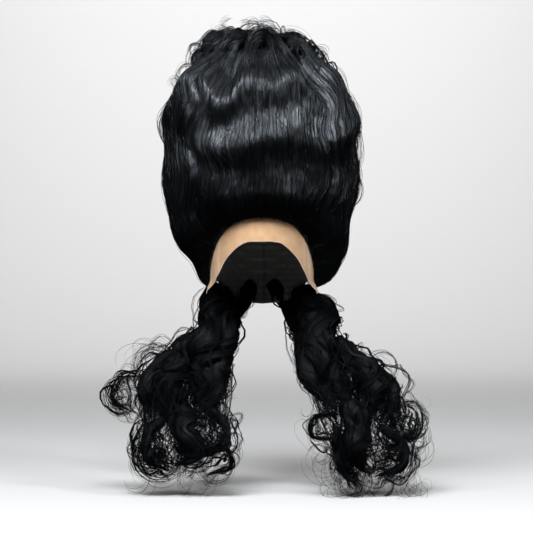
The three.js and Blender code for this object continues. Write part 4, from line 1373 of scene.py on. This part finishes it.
class WIG_OT_lace(bpy.types.Operator):
    """Make the sheer lace front with its ear tabs, creases and uneven edge"""

    bl_idname = "wig.lace"
    bl_label = "Lace front"

    def execute(self, context):
        form = context.scene.wig_form
        columns, rows = 180, 24
        rng = np.random.default_rng(907)
        wavy, crease = Grain(rng, 0.012, 1), Grain(rng, 0.009, 0.05)
        angle, share = np.meshgrid(
            np.linspace(-form.tab_angle, form.tab_angle, columns + 1), np.linspace(0, 1, rows + 1)
        )
        low = edge_height(form, LACE_EDGE, angle)
        high = edge_height(form, SEAM, angle)
        around = np.radians(angle) * form.head_half_depth
        unevenness, off_head, crease_depth, flare, hem_width = 0.0007, 0.0006, 0.0009, 0.009, 0.0015
        low = low + unevenness * wavy(around, 0 * around)
        height = low + (high - low) * share
        temple = smooth(np.abs(angle), 42, 60)
        fold = crease_depth * temple * crease(around, height) * (1 - share)
        tab = smooth(-height / form.tab_drop, 0.84, 1.02) * smooth(np.abs(angle), 58, 76)
        fold = fold + flare * tab
        outside = head_point(form, angle, height, form.lace_wall + off_head + fold)
        inside = head_point(form, angle, height, off_head + fold)
        count = outside.shape[0] * outside.shape[1]
        faces = grid_faces(rows, columns).tolist() + grid_faces(rows, columns, count).tolist()
        rim, back = grid_loop(rows, columns), grid_loop(rows, columns, count)
        faces += [(rim[i - 1], rim[i], back[i], back[i - 1]) for i in range(len(rim))]
        hem = np.exp(-(((height - low) / hem_width) ** 2)) + 0.6 * temple * np.abs(crease(around, height))
        rooted = smooth(height - edge_height(form, HAIRLINE, angle), -hem_width, hem_width)
        flow = np.stack([around, height, np.clip(hem, 0, 1) * (1 - rooted) - rooted], -1).reshape(-1, 3)
        points = np.concatenate([outside.reshape(-1, 3), inside.reshape(-1, 3)])
        piece = mesh_object("lace_net", points, faces, np.concatenate([flow, flow]), material("sheer_net"))
        # The hair over the net would mirror it as a pale line, which short roots break up.
        piece.visible_glossy = False
        seat(piece, "lace", "lace_front")
        return {"FINISHED"}


class WIG_OT_cap(bpy.types.Operator):
    """Make the stretch cap with its rows of wefts inside and its bound edge"""

    bl_idname = "wig.cap"
    bl_label = "Cap"

    def execute(self, context):
        form = context.scene.wig_form
        columns, rows, weft_spacing, weft_height, binding = 72, 54, 0.011, 0.0006, 0.0003
        angle = np.linspace(-180, 180, columns + 1)[None, :-1]
        share = np.linspace(0, 1, rows + 1)[1:, None]
        seam = edge_height(form, SEAM, angle) + form.clearance
        eased = np.sin(share * np.pi / 2) ** 2 * 0.3 + 0.7 * share**1.5
        layers, flow, mean_radius = [], [], 0.09
        for offset, way in ((form.cap_wall, 1), (0.0, -1)):
            height = offset + (seam - offset) * eased
            run = np.abs(height) * 1.2
            weft = np.maximum(0, np.cos(2 * np.pi * run / weft_spacing)) ** 6
            bound = smooth(share, 0.955, 0.975) + 0 * angle
            raised = weft_height * weft * (way < 0) + binding * bound
            points = head_point(form, angle, height, offset - raised if way < 0 else offset)
            layers.append(points[::way])
            around = np.radians(angle) * mean_radius + 0 * height
            flow.append(np.stack([around, height, weft], -1)[::way])
        rings = np.concatenate(layers)
        crown = np.array([[0, 0, form.cap_wall], [0, 0, 0]])
        index = np.arange(rings.shape[0] * columns).reshape(-1, columns) + 2
        after = np.roll(index, -1, 1)
        faces = ring_faces(index) + [(0, a, b) for a, b in zip(index[0], after[0])]
        faces += [(1, b, a) for a, b in zip(index[-1], after[-1])]
        points = np.concatenate([crown, rings.reshape(-1, 3)])
        run = np.concatenate([np.zeros((2, 3)), np.concatenate(flow).reshape(-1, 3)])
        piece = mesh_object("cap_shell", points, faces, run, material("stretch_cap"))
        seat(piece, "cap", "wig_cap")
        return {"FINISHED"}


class WIG_OT_materials(bpy.types.Operator):
    """Make the materials of the hair, the net and the cap"""

    bl_idname = "wig.materials"
    bl_label = "Materials"

    def execute(self, context):
        finish = context.scene.wig_finish
        hair_material(finish, "combed_hair", streak_width=0.0014, bump=0.0011, gloss=1.0)
        hair_material(finish, "strand_hair", streak_width=0.004, bump=0.0001, gloss=0.9)
        hair_material(finish, "loose_hair", streak_width=0.0014, bump=0.0009, gloss=0.22)
        net_material(finish)
        cap_material(finish)
        return {"FINISHED"}


# Studio lights: name, place, target, width, height, watts and colour.
LIGHTS = (
    ("key", (-0.3, -1.45, 1.87), (0, 0, 0.05), 1.6, 1.1, 102, (0.95, 0.98, 1.0)),
    ("right_fill", (-1.6, -1.4, 1.2), (0, 0, -0.05), 0.35, 0.9, 13, (1.0, 0.99, 0.97)),
    ("left_fill", (1.6, -1.4, 1.2), (0, 0, -0.05), 0.35, 0.9, 26, (1.0, 0.99, 0.97)),
    ("top", (0, 0.2, 1.9), (0, 0, 0), 1.6, 0.3, 4, (1.0, 1.0, 1.0)),
    ("wall", (0, 3.3, 2.0), (0, 4.7, -0.1), 3.6, 0.7, 62, (1.0, 1.0, 1.0)),
)


def area_light(name, place, target, width, height, power, colour):
    data = bpy.data.lights.new(name, "AREA")
    data.shape, data.size, data.size_y = "RECTANGLE", width, height
    data.energy, data.color = power, colour
    light = bpy.data.objects.new(name, data)
    light.location = place
    light.rotation_euler = (Vector(target) - Vector(place)).to_track_quat("-Z", "Y").to_euler()
    bpy.context.scene.collection.objects.link(light)


class WIG_OT_stage(bpy.types.Operator):
    """Make the pale floor and wall, the studio light and the camera"""

    bl_idname = "wig.stage"
    bl_label = "Stage"

    def execute(self, context):
        scene = context.scene
        # The wall stands far enough back to be behind a camera that looks at the wig's back.
        floor, wall, bend, tall, half = cad_box[0].z - 0.01, 4.7, 1.6, 1.7, 4.0
        nearest, joint, dark_to, light_from = -3.2, -0.9, -1.0, -0.5
        arc = np.linspace(0, np.pi / 2, 13)
        profile = [(nearest, floor), (joint, floor), (light_from, floor)]
        profile += [(wall - bend + bend * math.sin(a), floor + bend - bend * math.cos(a)) for a in arc]
        profile += [(wall, floor + tall)]
        points = np.array([[(x, y, z) for y, z in profile] for x in (-half, half)])
        mesh = bpy.data.meshes.new("backdrop")
        mesh.from_pydata(points.reshape(-1, 3).tolist(), [], grid_faces(1, len(profile) - 1).tolist())
        mesh.polygons.foreach_set("use_smooth", [True] * len(mesh.polygons))
        shader = Shader("backdrop_paper")
        place = shader.node("ShaderNodeTexCoord", {}, {}, output="Object")
        grain = shader.noise(place, scale=240.0, detail=3.0)
        # Under the camera the floor is painted nearly black, a painted shade for the dark room in front of
        # the backdrop, so that it doesn't light the curls from below.
        tone, dark = scene.wig_finish.backdrop, 0.08
        depth = shader.node("ShaderNodeSeparateXYZ", {}, {0: place}, output=1)
        lit = depth.ramp(dark_to, light_from) - grain * 0.02
        shader.finish(
            Base_Color=shader.blend(lit, [c * dark for c in tone], tone),
            Roughness=0.85,
            Normal=shader.bump(grain, 0.0002),
        )
        mesh.materials.append(shader.material)
        backdrop = bpy.data.objects.new("backdrop", mesh)
        # In a studio the dark room round a backdrop mirrors in the hair, and not the paper.
        backdrop.visible_glossy = False
        scene.collection.objects.link(backdrop)

        for row in LIGHTS:
            area_light(*row)
        world = bpy.data.worlds.new("studio")
        world.use_nodes = True
        air = world.node_tree.nodes["Background"].inputs
        air["Color"].default_value = (0.93, 0.95, 1.0, 1)
        air["Strength"].default_value = 0.025
        scene.view_settings.view_transform = "Standard"
        scene.world = world

        distance, frame_width, sensor = 2.8, 0.77285, 36.0
        centre_x, centre_z = 0.0065, -0.102
        data = bpy.data.cameras.new("camera")
        data.sensor_width = sensor
        data.lens = sensor * distance / frame_width
        data.clip_start, data.clip_end = 0.1, 30
        camera = bpy.data.objects.new("camera", data)
        camera.location = (centre_x, -distance, centre_z)
        camera.rotation_euler = (math.pi / 2, 0, 0)
        scene.collection.objects.link(camera)
        scene.camera = camera
        return {"FINISHED"}


class WIG_PT_panel(bpy.types.Panel):
    """Sizes, finishes and steps of the wig"""

    bl_idname = "WIG_PT_panel"
    bl_label = "Lace Front Wig"
    bl_space_type = "VIEW_3D"
    bl_region_type = "UI"
    bl_category = "Wig"

    def draw(self, context):
        scene = context.scene
        for group in (scene.wig_form, scene.wig_hair, scene.wig_finish):
            box = self.layout.box()
            for key in group.__annotations__:
                box.prop(group, key)
        for step in STEPS:
            self.layout.operator(step.bl_idname)


STEPS = (
    WIG_OT_stage,
    WIG_OT_materials,
    WIG_OT_cap,
    WIG_OT_lace,
    WIG_OT_beehive,
    WIG_OT_combed_strands,
    WIG_OT_crown_curls,
    WIG_OT_falls,
    WIG_OT_wisps,
)
CLASSES = (WigForm, WigHair, WigFinish, *STEPS, WIG_PT_panel)


def register():
    for cls in CLASSES:
        bpy.utils.register_class(cls)
    bpy.types.Scene.wig_form = PointerProperty(type=WigForm)
    bpy.types.Scene.wig_hair = PointerProperty(type=WigHair)
    bpy.types.Scene.wig_finish = PointerProperty(type=WigFinish)


def unregister():
    del bpy.types.Scene.wig_finish
    del bpy.types.Scene.wig_hair
    del bpy.types.Scene.wig_form
    for cls in reversed(CLASSES):
        bpy.utils.unregister_class(cls)


def main():
    register()
    bpy.ops.wig.stage()
    bpy.ops.wig.materials()
    bpy.ops.wig.cap()
    bpy.ops.wig.lace()
    bpy.ops.wig.beehive()
    bpy.ops.wig.combed_strands()
    bpy.ops.wig.crown_curls()
    bpy.ops.wig.falls()
    bpy.ops.wig.wisps()


if __name__ == "__main__":
    main()
